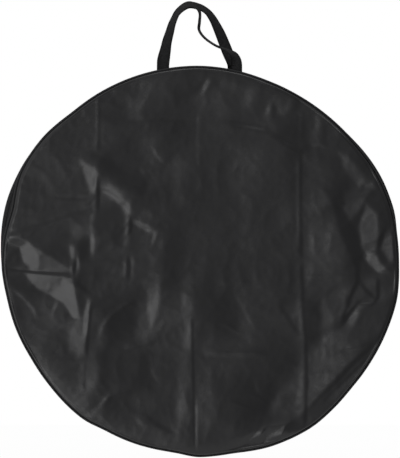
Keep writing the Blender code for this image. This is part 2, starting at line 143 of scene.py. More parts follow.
# Binding tape: how deep its front leg covers the panel, its rounded back outside and inside,
# how far its free edge and its height wander, and the lengths of those waves
BINDING_FACE = 0.0028
BINDING_ROUND = (0.0016, 0.0010)
EDGE_WANDER = 0.00035
EDGE_WAVES = (0.045, 0.071, 0.028)
SWELL_WANDER = 0.00018
SWELL_WAVES = (0.009, 0.013, 0.021)

# Seam thread: stitch length and gap, the thread's half thickness and half width, the metres of
# its texture for each radian round it, its sides, its shares of the way along with its rise in
# half thicknesses, and two rows as depth, level and side
STITCH_LENGTH = 0.0026
STITCH_GAP = 0.0009
THREAD_HALF = 0.00022
THREAD_HALF_WIDTH = 0.00024
THREAD_ROUND = 0.0002
THREAD_SIDES = 5
STITCH_RISES = ((0.0, -0.5), (0.2, 0.7), (0.5, 1.0), (0.8, 0.7), (1.0, -0.5))
SEAM_ROWS = ((0.0021, BINDING_OUTER_Y, 1), (0.0044, BINDING_INNER_Y, -1))

# Zip tape and lower band: thickness, room left at the corner, depths where the outer and the
# inner face turn up, and slack: its sag, the slant, seed and lengths of its waves, and where
# it starts and is full. No tape is slack over its coil
TAPE_CLOTH = 0.0006
BAND_CLOTH = 0.0005
SEAM_CORNER = 0.0006
TURN_OUTSIDE = 0.0062
TURN_INSIDE = 0.0072
TAPE_SAG = 0.0004
TAPE_SLANT = 2
TAPE_WAVES = (0.019, 0.031, 0.053, 0.012)
TAPE_SLACK = (FLANGE_Y - 0.001, FLANGE_Y - 0.005)
COIL_ROOM = (0.0045, 0.0075)
BAND_SAG = 0.0006
BAND_WAVES = ((3, 21, (0.017, 0.029, 0.048)), (-4, 22, (0.023, 0.061)))
BAND_SLACK = (FLANGE_Y - 0.001, FLANGE_Y - 0.007)

# Zip coil: one tooth each pitch, half a tooth's width, and its rings from the tape to its head
# over the middle, each with its level and its width and height as shares; a ring's corners;
# and where in the pitch the front and the back teeth stand
COIL_PITCH = 0.0013
TOOTH_HALF = 0.00036
TOOTH_RINGS = ((COIL_FAR, 0.55, 0.85), (0.0016, 0.70, 0.85), (0.0003, 0.75, 0.9),
               (-0.0003, 0.95, 1.0), (-0.0007, 0.75, 0.6))
TOOTH_CORNERS = ((-1.0, -0.55), (-0.55, -1.0), (0.55, -1.0), (1.0, -0.55),
                 (1.0, 0.55), (0.55, 1.0), (-0.55, 1.0), (-1.0, 0.55))
TOOTH_OFFSETS = {FRONT: 0.25, BACK: 0.75}

# End tabs: from how far to how far below the middle, half width, half of its bowed part,
# bow, folded edge, and depth of the outer face
TAB_SPAN = (0.0245, 0.0475)
TAB_HALF = 0.0128
TAB_BOWED = 0.011
TAB_BOW = 0.0003
TAB_EDGE = 0.0004
TAB_OUTSIDE = 0.0057

# Straps: the lower end of the sewn feet, steps in a foot and between two rows of a route, the
# woven edge as distances from it with shares of the thickness, and where the flat starts
STRAP_FOOT_Z = -0.1085
FOOT_STEPS = 9
ROUTE_STEPS = 8
STRAP_EDGE = ((0.0002, 0.45), (0.0010, 0.92))
STRAP_FLAT = 0.0024

# The far face of a strap is this much further across its texture
FACE_GAP = 0.05

# Angles in degrees over which the edges of swept pieces and of zip teeth stay crisp
SWEPT_CRISP = 50
TOOTH_CRISP = 40

# Between these sines of the angle below the middle, the band takes up the edges' straying;
# above, only what is further from the middle plane than the second pair
BELOW_ZIP = (0.16, 0.32)
STRAYING = (0.0055, FLANGE_Y - 0.0005)

# Studio: the way towards its bright side, how far its grading reaches from the dark side to
# the bright one, its gloss at those two in front and behind, where behind starts and is full,
# and its soft light
WORLD_BRIGHT_WAY = (-0.97, 0.0, -0.25)
WORLD_SPAN = (-0.45, 0.45)
WORLD_LEVELS = (0.12, 0.95)
WORLD_REAR_LEVELS = (0.50, 1.00)
WORLD_BEHIND = (0.0, 0.3)
WORLD_SOFT = 0.30

# Dark and light tone of each stuff
CLOTH_TONES = ((0.010, 0.010, 0.0108), (0.014, 0.014, 0.015))
BINDING_TONES = ((0.010, 0.010, 0.0107), (0.018, 0.018, 0.019))
TAPE_TONES = ((0.007, 0.007, 0.0075), (0.013, 0.013, 0.014))
COIL_TONES = ((0.010, 0.010, 0.011), (0.018, 0.018, 0.019))
THREAD_TONES = ((0.012, 0.012, 0.013), (0.035, 0.035, 0.036))
STRAP_TONES = ((0.002, 0.002, 0.0022), (0.110, 0.110, 0.115))
METAL_TONES = ((0.030, 0.030, 0.034), (0.060, 0.060, 0.066))

# Lamps: place, aim, width with height, and power
LAMPS = {
    "key": ((-1.40, -2.70, -0.95), (0, 0, -0.45), (1.1, 1.7), 22),
    "fill": ((0.2, -1.0, 2.4), (0, 0, -0.55), (1.8, 1.8), 38),
}

# Floor: how far under the solids, its reach across and from front to back, the points along
# a side, its tone, and the share of plain white that the camera sees
FLOOR_GAP = 0.0035
FLOOR_X = (-0.80, 0.80)
FLOOR_Y = (-0.14, 1.00)
FLOOR_POINTS = 12
FLOOR_TONE = 0.80
FLOOR_WHITE = 0.98

# The front view: metres per pixel, its size in pixels, the pixel that shows the middle of the
# bag, the camera's distance from the front face, how far that is from the middle plane, and
# the sensor in millimetres
PIXEL = 0.001768
PICTURE = (400, 458)
MIDDLE_PIXEL = (199.5, 265.0)
CAMERA_AWAY = 6.0
FRONT_FACE = 0.020
SENSOR = 36

# Folds are worked out on a square of pixels with a border round the picture, so many points
# to a pixel. A full slope rises towards a direction so many degrees up from the right. Two
# small weights keep the cloth level across that direction, and from rising broadly
SQUARE = 512
BORDER = 32
FINE = 2
FULL_SLOPE = 0.26
RISE_TURN = 30
LEVEL_WEIGHT = 0.03
BROAD_WEIGHT = 0.0005

# How a fold fades at its ends: over a share of its length, up to so many pixels. A slope line
# keeps a share of itself there; a ridge has slopes that steepen towards its top
LINE_ENDS = (0.30, 8.0)
LINE_LEFT = 0.25
RIDGE_ENDS = (0.35, 14.0)
RIDGE_POWER = 1.7

# Small rumples: length in pixels, height in millimetres, and whether they are creased. Their
# lengths spread round these by a share
RUMPLES = ((80, 0.55, False), (38, 0.19, True), (19, 0.07, True), (9, 0.025, False))
RUMPLE_SPREAD = 0.45

# How the empty bag's edge strays from the round, in degrees and millimetres
FRONT_EDGE = (
    (0, 3.1), (10, 4.2), (16, 5.4), (23, 5.2), (31, 3.4), (37, 0.6), (50, -1.5), (60, -2.2),
    (70, -1.9), (80, 0.8), (90, 2.7), (100, 3.0), (110, 3.2), (120, 3.0), (130, 2.2), (140, 8.0),
    (150, 9.2), (155, 7.0), (159, 2.0), (163, -3.0), (167, -2.0), (171, 0.0), (180, 0.8),
    (190, -3.8), (200, -4.3), (210, -6.1), (220, -4.3), (230, -0.8), (235, 0.2), (240, -3.6),
    (250, -2.8), (262, -3.3), (266, -1.1), (268, 2.1), (270, 2.4), (280, 0.1), (290, 5.7),
    (300, 7.5), (305, 7.7), (310, 5.2), (320, 1.1), (330, 1.6), (340, 3.0), (350, 5.5),
)
BACK_EDGE = (
    (0, 3.2), (10, 6.0), (15, 9.6), (20, 9.3), (25, 9.3), (30, 7.6), (35, 5.1), (40, 2.1),
    (45, 0.4), (50, -1.3), (60, -2.2), (70, -1.9), (80, 0.6), (90, 2.4), (100, 2.8), (110, 3.0),
    (120, 3.0), (130, 2.3), (140, 8.8), (150, 11.2), (160, 11.6), (165, 10.3), (170, 7.8),
    (175, 4.8), (180, 2.2), (190, -3.4), (200, -4.3), (210, -6.1), (220, -4.3), (230, -0.8),
    (235, 0.2), (240, -3.6), (250, -2.8), (262, -3.3), (270, 1.6), (280, -0.3), (290, 4.9),
    (300, 6.7), (310, 4.8), (320, 1.1), (330, 1.6), (340, 2.8), (350, 5.0),
)

# How wide the front cloth's rolled edge is inside the binding, in degrees and millimetres
ROLL_WIDTH = (
    (0, 3.0), (60, 3.0), (90, 2.8), (120, 3.2), (131, 4.5), (140, 6.5), (152, 6.5), (160, 4.5),
    (170, 3.0), (200, 3.2), (215, 3.8), (235, 3.8), (255, 3.0), (275, 3.2), (295, 3.6), (320, 3.4),
    (350, 3.4),
)

# Handle routes: x as a share of half the spacing, height as a share of the rise,
# depth as a share of the strap width, and how far the strap turns on itself in degrees
BACK_ROUTE = (
    (-1.04, 0.000, 0.00, 0), (-1.03, 0.100, 0.00, 4), (-0.97, 0.250, 0.02, 20),
    (-0.92, 0.380, 0.04, 32), (-0.85, 0.550, 0.06, 44), (-0.765, 0.730, 0.09, 54),
    (-0.60, 0.900, 0.11, 57), (-0.32, 1.020, 0.12, 50), (-0.02, 0.995, 0.12, 52),
    (0.20, 0.920, 0.11, 54), (0.33, 0.830, 0.10, 48), (0.430, 0.728, 0.09, 42),
    (0.572, 0.550, 0.06, 26), (0.695, 0.368, 0.04, 14), (0.80, 0.210, 0.02, 8),
    (0.90, 0.080, 0.00, 2), (0.94, 0.000, 0.00, 0),
)
FRONT_ROUTE = (
    (-1.00, 0.000, 0.00, 0), (-0.98, 0.100, 0.00, 4), (-0.945, 0.250, -0.02, 18),
    (-0.91, 0.380, -0.05, 28), (-0.83, 0.550, -0.08, 40), (-0.735, 0.730, -0.12, 52),
    (-0.59, 0.900, -0.15, 54), (-0.32, 1.010, -0.18, 50), (-0.08, 0.975, -0.20, 62),
    (0.01, 0.865, -0.20, 78), (0.00, 0.718, -0.20, 78), (-0.01, 0.584, -0.20, 78),
    (0.15, 0.450, -0.20, 78), (0.43, 0.332, -0.18, 78), (0.63, 0.282, -0.16, 76),
    (0.80, 0.235, -0.12, 70), (0.95, 0.165, -0.08, 44), (1.015, 0.070, -0.03, 12),
    (1.035, 0.000, 0.00, 0),
)

# Folds of the front panel, in pixels of the front view. A slope line is drawn downwards or to
# the right: its half width, how steeply the cloth rises towards the upper right along it, 1
# for a full slope, and its points. Cloth that rises faces the lamp; what falls is in shade
FRONT_SLOPE_LINES = (
    # upright folding crease on the left
    (1.6, 0.38, (96.5, 95), (97, 125), (96.5, 150)),
    (1.6, -0.38, (99, 95), (99, 125), (98.5, 150)),
    (1.8, 0.45, (94.5, 168), (94.8, 180), (94.5, 193)),
    (2.6, 0.50, (93.5, 195), (93, 210), (91.5, 226)),
    (1.2, -0.30, (89, 207), (95, 196)),
    (1.2, -0.30, (89.5, 215), (95, 204)),
    (1.2, -1.10, (98, 178), (98.2, 190), (98, 212)),
    # diagonal over the left middle
    (3.4, 1.05, (97, 187.5), (108, 191), (118, 198), (126, 206), (129.5, 214)),
    (5.0, 0.30, (104, 183), (116, 190), (127, 198)),
    (6.0, 0.42, (124, 200), (128, 208), (129, 217)),
    (3.2, 0.62, (126.5, 213), (126.5, 230), (125, 250)),
    (1.2, -0.30, (121, 232), (128, 224)),
    (1.2, -0.30, (121, 243), (128, 234)),
    (1.3, -0.87, (130.5, 215), (131, 226), (129, 236)),
    (2.7, 1.25, (130, 220), (142, 225.5), (155, 232)),
    (2.0, 0.65, (154.5, 231), (154, 238), (151.5, 246)),
    (2.2, 0.20, (160, 229), (161, 240), (160, 252)),
    (9.0, -0.90, (98, 157), (112, 171), (128, 182), (150, 191)),
    (4.0, -0.45, (86, 153), (98, 158), (106, 164)),
    # small creases above that diagonal
    (1.2, 0.55, (150.5, 145), (155, 153), (160, 160), (168, 166.5)),
    (3.2, -0.50, (158, 164), (166, 162), (174, 158)),
    (1.4, 0.45, (139, 167), (146, 177)),
    # short upright pleat under it
    (1.8, 0.47, (124.5, 256), (124.5, 268), (124, 279)),
    (1.4, -0.61, (128.5, 254), (128.5, 268), (128, 280)),
    (1.4, 0.38, (132.5, 256), (132.5, 268), (132, 279)),
    # creases of the left edge
    (3.0, -0.45, (14, 234), (43, 224), (68, 216), (89, 210)),
    (2.6, 0.60, (18, 183), (15, 205), (10, 222), (7, 236)),
    (2.6, 0.95, (71, 243), (72, 252), (73, 262)),
    (1.2, 0.80, (70.5, 262), (71.5, 272), (72.5, 279)),
    (1.4, 0.95, (77.5, 253), (78, 266), (76, 278)),
    (1.0, -0.90, (75, 260), (74.8, 268), (74, 275)),
    (2.0, 0.75, (91, 229), (92.5, 240), (92, 256)),
    (1.8, 0.50, (57, 301), (53, 311)),
    (2.2, -0.68, (76, 281), (82, 288), (89, 292)),
    (1.8, 0.58, (13, 289), (24, 299), (33, 309), (37, 320)),
    # sharp crease under the wedge
    (2.6, 0.90, (89, 298), (87, 312), (85.5, 338)),
    (1.3, -0.85, (91.5, 304), (89.5, 322), (87.5, 341), (86.5, 357)),
    (1.4, -0.25, (86, 358), (85, 374), (84, 392)),
    (5.0, 0.05, (95, 345), (94, 372), (94, 398)),
    # lower left
    (2.6, 0.35, (109, 315), (102, 326), (98, 340)),
    (2.0, -0.20, (100, 374), (104, 384), (112, 392)),
    (1.6, 0.35, (150, 366), (154, 376), (160, 384)),
    (2.8, 0.40, (97, 408), (103, 402), (110, 397)),
    (2.8, 0.50, (126, 412), (137, 419), (144, 427)),
    (2.0, -0.47, (143, 414), (156, 424), (172, 433)),
    # middle crease
    (1.5, 0.38, (197.5, 112), (197.5, 140), (198, 168)),
    (6.0, 0.32, (185, 270), (186, 300), (188, 352)),
    (6.5, 0.26, (184, 352), (182, 385), (179, 415)),
    (5.0, 0.36, (181, 402), (179, 418), (177.5, 436)),
    (0.8, -0.80, (192.3, 318), (192.8, 350), (193.5, 385), (194.3, 454)),
    (1.8, 0.60, (196, 400), (196, 430), (196, 453)),
    (4.5, 0.06, (208, 362), (209, 395), (208, 428)),
    # shaded sides of the lit patch at the bottom
    (1.3, -0.70, (264, 429), (262, 443)),
    (1.6, -1.10, (286.5, 426), (282.5, 438)),
    # right crease
    (1.8, 0.42, (297.6, 160), (297.8, 205), (298, 250)),
    (1.3, -0.58, (300.8, 151), (300.8, 205), (301.5, 260)),
    (4.0, 0.26, (298, 262), (299, 300), (302, 345), (301, 385), (298, 424)),
    (1.5, -0.82, (301.6, 262), (303, 305), (306, 340), (306.6, 385), (305, 427)),
    # lower right
    (2.2, 0.24, (234, 292), (242, 306), (249, 319), (253, 327)),
    (2.0, -0.47, (279, 304), (290, 321), (301, 337)),
    (1.8, 0.47, (254, 379), (258, 391), (271, 404)),
    (5.5, 0.42, (299, 381), (281, 394), (267, 420)),
    (1.6, 0.80, (343, 349.5), (352, 348.5), (361, 347)),
    (2.8, -0.68, (374, 345), (357, 359), (329, 389), (309, 407)),
    (2.0, -0.42, (368, 357), (343, 382), (322, 402)),
    # right star
    (1.8, -1.00, (358, 258), (357.5, 282), (350, 298), (342, 324)),
    (1.6, -0.80, (385, 229), (380, 240), (378, 250)),
    (1.6, 0.40, (346, 302), (347, 312), (345, 318)),
    (1.5, -0.95, (359, 282), (367, 291), (377, 301)),
    (1.5, -1.05, (378, 277), (378, 298), (374, 303), (358, 303), (350, 312), (343, 325)),
    (4.2, 0.62, (358, 309), (353.5, 318), (347, 327)),
    # upper right puckers
    (2.6, 0.72, (210.5, 77), (206, 85), (201.5, 94)),
    (7.5, 0.44, (250, 82), (249.5, 96), (247, 114)),
    (3.6, 0.30, (234, 80), (234, 88), (233, 95)),
    (4.5, 0.30, (222, 76), (224, 84), (222, 93)),
    (3.0, 0.44, (270, 101), (268.5, 109), (266, 117)),
    (3.4, 0.40, (276, 98), (279, 104), (281, 111)),
    (3.6, 0.34, (290, 98), (287, 106)),
    (3.6, 0.52, (318, 111), (317, 124), (315, 137)),
    (1.6, 0.38, (300, 113), (300, 136)),
    (2.2, 0.52, (309, 146), (318, 145), (326, 147)),
    (2.6, -0.85, (226, 122), (248, 126.5), (266, 130), (284, 142), (300, 151)),
    (2.6, -0.36, (273, 104), (275, 112), (273, 120)),
    (3.0, -0.33, (300, 100), (296, 107), (291, 112)),
    (3.0, -0.42, (324, 124), (326, 134), (324, 143)),
)

# Larger leaning faces: softness of the border in pixels, steepness, and corners
FRONT_SLOPE_FACES = (
    (2.4, 0.62, (80, 159), (96, 170), (96, 193), (90, 193), (85, 178)),
    (14, -0.05, (20, 128), (60, 106), (88, 110), (86, 150), (60, 180), (24, 182)),
    (12, -0.20, (14, 150), (60, 140), (84, 190), (60, 215), (16, 215)),
    (8, -0.30, (100, 148), (128, 140), (152, 168), (144, 192), (118, 184)),
    (5, -0.30, (143, 111), (172, 112), (174, 122), (143, 122)),
    (5, 0.25, (126, 100), (142, 100), (141, 120), (128, 120)),
    (5, 0.25, (173, 158), (188, 158), (188, 206), (172, 206)),
    (7, -0.20, (160, 128), (186, 128), (184, 156), (160, 152)),
    (3, 0.22, (70, 225), (92, 226), (93, 238), (82, 240), (71, 238)),
    (2.5, -0.45, (78, 240), (89, 240), (90, 262), (79, 262)),
    (2.0, 1.00, (4, 236), (20, 238), (30, 243), (38, 256), (39, 270), (32, 271), (24, 262),
      (19, 247), (4, 242)),
    (1.6, 0.65, (32, 245), (50, 256), (71, 270), (40, 270)),
    (3.0, -0.20, (6, 247), (18, 247), (22, 262), (6, 262)),
    (2.0, 1.05, (24, 273), (72, 278), (75, 290), (79, 317), (74, 318), (64, 303), (50, 295),
      (36, 287)),
    (4, -0.30, (6, 278), (24, 280), (38, 292), (26, 294), (8, 286)),
    (1.8, -0.35, (28, 275), (62, 278), (60, 287), (40, 290)),
    (5, 0.40, (66, 330), (80, 318), (86, 338), (84, 355), (70, 350)),
    (8, -0.25, (44, 350), (82, 360), (84, 394), (68, 394)),
    (6, -0.55, (104, 312), (134, 306), (138, 346), (106, 350)),
    (6, -0.45, (100, 350), (150, 350), (150, 388), (100, 384)),
    (3.2, 0.52, (143, 284), (160, 281), (160, 300), (156, 316), (152, 328), (146, 316),
      (148, 300)),
    (4, 0.14, (150, 256), (161, 256), (161, 282), (150, 282)),
    (4, 0.05, (146, 326), (158, 326), (158, 342), (144, 344)),
    (8, -0.30, (160, 226), (186, 230), (184, 290), (164, 290)),
    (8, -0.30, (196, 290), (232, 296), (236, 340), (198, 344)),
    (12, 0.38, (232, 145), (292, 156), (296, 262), (236, 262)),
    (4, -0.43, (270, 116), (304, 114), (310, 150), (300, 153), (282, 144)),
    (6, -0.34, (326, 170), (352, 170), (350, 196), (328, 194)),
    (2.5, -0.70, (334, 206), (341, 206), (351, 222), (360, 240), (361, 262), (354, 262),
      (343, 240), (337, 222)),
    (3, -0.80, (324, 190), (342, 192), (345, 204), (334, 204)),
    (3.2, 0.85, (339, 152), (347, 155), (358, 168), (367, 181), (359, 188), (349, 177),
      (343, 166)),
    (2.0, 0.65, (364, 183), (373, 181), (375, 189), (365, 191)),
    (10, 0.62, (302, 156), (352, 172), (332, 200), (344, 240), (350, 296), (303, 300)),
    (8, 0.22, (326, 304), (376, 305), (366, 350), (340, 376), (324, 350)),
    (14, -0.60, (92, 350), (300, 350), (300, 430), (200, 450), (120, 425), (94, 400)),
    (7, 0.16, (20, 296), (52, 300), (66, 330), (40, 340), (24, 318)),
    (6, -0.30, (88, 398), (130, 400), (140, 420), (100, 415)),
    (8, -0.15, (215, 385), (290, 385), (285, 430), (215, 440)),
    (12, 0.34, (100, 78), (160, 72), (240, 72), (300, 110), (200, 118), (100, 110)),
    (2.6, 0.70, (336, 202), (350, 199), (367, 194), (359, 214), (348, 221)),
    (2.2, 0.95, (366, 203), (378, 214), (379, 240), (376, 252), (368, 258), (360, 246),
      (358.5, 225)),
    (2, 1.05, (384, 234), (396, 232), (396, 262), (389, 262), (381, 250)),
    (1.8, 1.25, (362, 256), (376, 253), (381, 262), (389, 272), (379, 273), (369, 265)),
    (2, 0.18, (361, 276), (376, 280), (377, 292), (370, 292)),
    (3.0, 0.12, (347, 311), (360, 303), (363, 312), (353, 325), (345, 327)),
    (4, -0.65, (304, 300), (320, 300), (320, 346), (308, 346)),
    (6, 0.22, (314, 352), (342, 354), (330, 384), (310, 402)),
    (5, 0.05, (322, 306), (334, 306), (332, 346), (322, 344)),
    (8, -0.43, (236, 378), (276, 378), (272, 424), (238, 426)),
    (5, 0.22, (270, 402), (299, 402), (297, 424), (272, 424)),
    (6, -0.25, (214, 304), (240, 304), (242, 342), (216, 342)),
    (1.6, 1.20, (244, 444), (254, 434), (263, 428), (261, 443)),
    (1.6, 1.20, (264, 443), (266, 428.5), (286, 424.5), (282.5, 438)),
    (6, -0.20, (214, 378), (236, 380), (236, 420), (216, 424)),
)

# Level creases that catch light from above: height in millimetres, the width in pixels of
# the slope below and of the slope above, and points
FRONT_RIDGES = (
    (1.6, 4.5, 10, (203, 354), (233, 353.5), (268, 354)),
    (0.6, 3, 8, (216, 284), (257, 283)),
    (0.95, 4, 9, (121, 349), (136, 346), (158, 341.5)),
    (1.0, 4, 8, (99, 407), (111, 396), (137, 391)),
    (0.8, 6, 5, (103, 327), (112, 315), (124, 306), (138, 298)),
    (-0.5, 5, 5, (123, 121), (160, 119), (200, 121)),
    (0.5, 3, 3, (300, 277), (330, 276), (356, 276)),
    (-1.0, 3, 3, (4, 268), (22, 270), (45, 272), (72, 273)),
    (-0.6, 4, 4, (50, 197), (72, 198), (93, 197)),
    (0.55, 2.5, 4, (246, 395), (258, 398), (271, 406)),
    (0.45, 3, 4, (224, 399), (238, 405), (260, 413)),
    (0.45, 3, 4, (214, 322), (228, 326), (244, 336)),
)

# Folds of the back panel, seen through from the front
BACK_SLOPE_LINES = (
    (3.0, 0.45, (97, 90), (98, 250), (96, 430)),
    (1.5, -0.63, (101, 90), (102, 250), (100, 430)),
    (4.0, 0.43, (192, 75), (191, 260), (193, 450)),
    (1.5, -0.70, (197, 75), (196, 260), (198, 450)),
    (3.0, 0.43, (297, 95), (296, 260), (299, 430)),
    (1.5, -0.67, (301, 95), (300, 260), (303, 430)),
    (4.0, 0.56, (30, 150), (60, 190), (84, 240)),
    (3.0, -0.56, (40, 146), (70, 186), (94, 236)),
    (4.0, -0.63, (372, 170), (345, 220), (350, 280)),
    (4.0, 0.56, (382, 180), (357, 224), (362, 280)),
    (3.0, 0.45, (120, 395), (150, 360), (190, 345)),
    (4.0, 0.41, (250, 120), (270, 160), (262, 210)),
    (4.0, -0.53, (330, 300), (300, 350), (290, 400)),
    (3.0, -0.53, (60, 280), (90, 310), (100, 350)),
)
BACK_SLOPE_FACES = (
    (14, 0.21, (110, 110), (170, 120), (180, 190), (120, 200)),
    (14, -0.23, (220, 250), (290, 260), (280, 340), (230, 350)),
    (10, 0.25, (310, 140), (350, 160), (340, 230), (312, 220)),
    (10, -0.25, (40, 260), (80, 250), (90, 330), (60, 350)),
    (10, 0.23, (140, 380), (200, 370), (220, 420), (150, 420)),
)
BACK_RIDGES = (
    (0.8, 5, 5, (20, 190), (140, 188), (260, 192)),
    (-0.8, 5, 5, (60, 340), (200, 344), (370, 338)),
)


def ease(value, start, end):
    """0 at the start, 1 at the end, and eased between the two."""
    share = np.clip((value - start) / (end - start), 0.0, 1.0)
    return share * share * (3 - 2 * share)


def read_round(table, degrees):
    """Read a table of degrees and millimetres that closes on itself, in metres."""
    return np.interp(degrees, *np.array(table).T, period=360) / 1000


def edge_shift(table, angle):
    """How far the edge stands outside the round at an angle, evened out over 5 degrees."""
    turns = (-2, -1, 0, 1, 2)
    return sum(read_round(table, np.degrees(angle) + turn) for turn in turns) / len(turns)


def rim_places(angle, depth, y):
    """Points below the rim of the bag as it lies, for arrays of angles, depths and levels."""
    angle, depth, y = np.broadcast_arrays(angle, depth, y)
    drop = np.where(np.sin(angle) >= 0, BAG_RADIUS, BAG_DROP)
    normal = np.stack((np.cos(angle) / BAG_RADIUS, np.sin(angle) / drop), -1)
    normal /= np.linalg.norm(normal, axis=-1, keepdims=True)
    front, back = edge_shift(FRONT_EDGE, angle), edge_shift(BACK_EDGE, angle)
    across = np.clip((y + FLANGE_Y) / (2 * FLANGE_Y), 0, 1)
    leaning = front + (back - front) * across
    below_zip = ease(-np.sin(angle), *BELOW_ZIP)
    level = (front + back) / 2 * below_zip
    straying = np.maximum(ease(np.abs(y), *STRAYING), below_zip)
    shift = level + (leaning - level) * straying
    x = BAG_RADIUS * np.cos(angle) - (depth - shift) * normal[..., 0]
    z = drop * np.sin(angle) - (depth - shift) * normal[..., 1]
    return CENTRE + np.stack((x, y, z), -1)


def waves(values, seed, lengths):
    """A repeatable gentle wander made of a few sines, about -1 to 1."""
    source = np.random.default_rng(seed)
    total = 0
    for length in lengths:
        total = total + np.sin(values * 2 * math.pi / length + source.uniform(0, 2 * math.pi))
    return total / len(lengths)


def add_object(name, data):
    """An object in the scene's own collection."""
    obj = bpy.data.objects.new(name, data)
    bpy.context.scene.collection.objects.link(obj)
    return obj


def face_outward(mesh):
    """Turn the faces of a closed mesh outwards where they were wound the other way."""
    measured = bmesh.new()
    measured.from_mesh(mesh)
    if measured.calc_volume(signed=True) < 0:
        mesh.flip_normals()
    measured.free()


def add_mesh(name, places, faces, uvs, surface, crisp=None):
    """A smooth closed object. Its uvs are a texture place for each point, or None. Edges that
    turn by more than the crisp angle, in degrees, stay edges."""
    mesh = bpy.data.meshes.new(name)
    mesh.from_pydata(np.reshape(places, (-1, 3)).tolist(), [], faces)
    face_outward(mesh)
    if uvs is not None:
        corners = np.empty(len(mesh.loops), dtype=np.int32)
        mesh.loops.foreach_get("vertex_index", corners)
        metres = np.reshape(uvs, (-1, 2)).astype(np.float32)[corners]
        mesh.uv_layers.new(name="cloth_metres").data.foreach_set("uv", metres.ravel())
    mesh.materials.append(surface)
    mesh.shade_smooth()
    if crisp:
        mesh.set_sharp_from_angle(angle=math.radians(crisp))
    obj = add_object(name, mesh)
    return obj


def strip_faces(rows, columns, wrap_rows=False, wrap_columns=False):
    """Quads over a grid of points, closed round either way if asked."""
    i = np.arange(rows if wrap_rows else rows - 1)[:, None]
    j = np.arange(columns if wrap_columns else columns - 1)[None, :]
    after_i, after_j = (i + 1) % rows, (j + 1) % columns
    quads = np.stack(np.broadcast_arrays(
        i * columns + j, i * columns + after_j,
        after_i * columns + after_j, after_i * columns + j), -1)
    return quads.reshape(-1, 4)


def tube_faces(rows, columns, closed=False):
    """Faces round a tube of points, with two end caps unless it closes on itself."""
    faces = strip_faces(rows, columns, closed, wrap_columns=True).tolist()
    if not closed:
        faces.append(list(range(columns))[::-1])
        faces.append(list(range((rows - 1) * columns, rows * columns)))
    return faces


def sheet_faces(count):
    """Faces of a square sheet with thickness: its two sides and the strip round its edge."""
    side = strip_faces(count, count)
    under = count * count
    grid = np.arange(under).reshape(count, count)
    ring = np.concatenate((grid[0], grid[1:, -1], grid[-1, -2::-1], grid[-2:0:-1, 0]))
    after = np.roll(ring, -1)
    edge = np.stack((ring, ring + under, after + under, after), -1)
    return np.concatenate((side, side[:, ::-1] + under, edge)).tolist()


def sweep(name, section, start, end, steps, surface, slot, wander=None):
    """A closed (depth, y) section swept along the rim, between two angles or all round."""
    closed = math.isclose(end - start, 2 * math.pi)
    count = steps if closed else steps + 1
    angles = start + (end - start) * np.arange(count)[:, None] / steps
    section = np.array(section)
    depth, y = section[None, :, 0], section[None, :, 1]
    if wander is not None:
        depth, y = wander(angles, depth, y)
    around = np.concatenate(([0], np.cumsum(np.linalg.norm(np.diff(section, axis=0), axis=1))))
    uvs = np.stack(np.broadcast_arrays(angles * BAG_RADIUS, around[None, :]), -1)
    return add_mesh(name, rim_places(angles, depth, y), tube_faces(count, len(section), closed),
                    uvs, surface, SWEPT_CRISP)


def nearest_on_line(u, v, points):
    """How far each place is from a line, how far along it, on which side, and its length."""
    away = np.full(u.shape, np.inf)
    run, side = np.zeros(u.shape), np.zeros(u.shape)
    passed = 0.0
    for (ax, ay), (bx, by) in zip(points, points[1:]):
        length = math.dist((ax, ay), (bx, by))
        dx, dy = (bx - ax) / length, (by - ay) / length
        along = np.clip((u - ax) * dx + (v - ay) * dy, 0, length)
        here = np.hypot(u - ax - along * dx, v - ay - along * dy)
        nearer = here < away
        away = np.where(nearer, here, away)
        run = np.where(nearer, passed + along, run)
        side = np.where(nearer, np.sign(dx * (v - ay) - dy * (u - ax)), side)
        passed += length
    return away, run, side, passed


def fading_ends(run, length, share, most):
    """1 along a line, fading to 0 over a share of its length, or the most, at each end."""
    fade = min(share * length, most)
    return ease(run, 0, fade) * ease(length - run, 0, fade)


def ridge_height(u, v, points, height, below, above):
    """A fold along a line: sharp on top, its two slopes as wide as asked, fading at its ends."""
    away, run, side, length = nearest_on_line(u, v, points)
    width = np.where(side >= 0, below, above)
    slope = np.clip(1 - away / width, 0, 1) ** RIDGE_POWER
    return height * slope * fading_ends(run, length, *RIDGE_ENDS)


def line_mark(u, v, points, half_width):
    """How near each point is to a line: 1 on it, fading across its width and at its ends."""
    away, run, side, length = nearest_on_line(u, v, points)
    ends = fading_ends(run, length, *LINE_ENDS)
    return np.exp(-(away / half_width) ** 2) * (LINE_LEFT + (1 - LINE_LEFT) * ends)


def face_mark(u, v, corners, soft):
    """1 inside a many-cornered face, fading to 0 across its border."""
    outline = (*corners, corners[0])
    away = nearest_on_line(u, v, outline)[0]
    inside = np.zeros(u.shape, dtype=bool)
    for (ax, ay), (bx, by) in zip(outline, outline[1:]):
        if ay != by:
            crosses = (ay > v) != (by > v)
            inside ^= crosses & (u < (bx - ax) * (v - ay) / (by - ay) + ax)
    return ease(np.where(inside, away, -away), -soft, soft)


def slopes_to_height(slope, ku, kv):
    """The height whose rise towards one direction comes nearest to the asked slopes."""
    turn = math.radians(RISE_TURN)
    towards = ku * math.cos(turn) - kv * math.sin(turn)
    across = ku * math.sin(turn) + kv * math.cos(turn)
    weight = towards**2 + LEVEL_WEIGHT * across**2 + BROAD_WEIGHT
    return PIXEL * np.fft.ifft2(-1j * towards * np.fft.fft2(slope) / weight).real


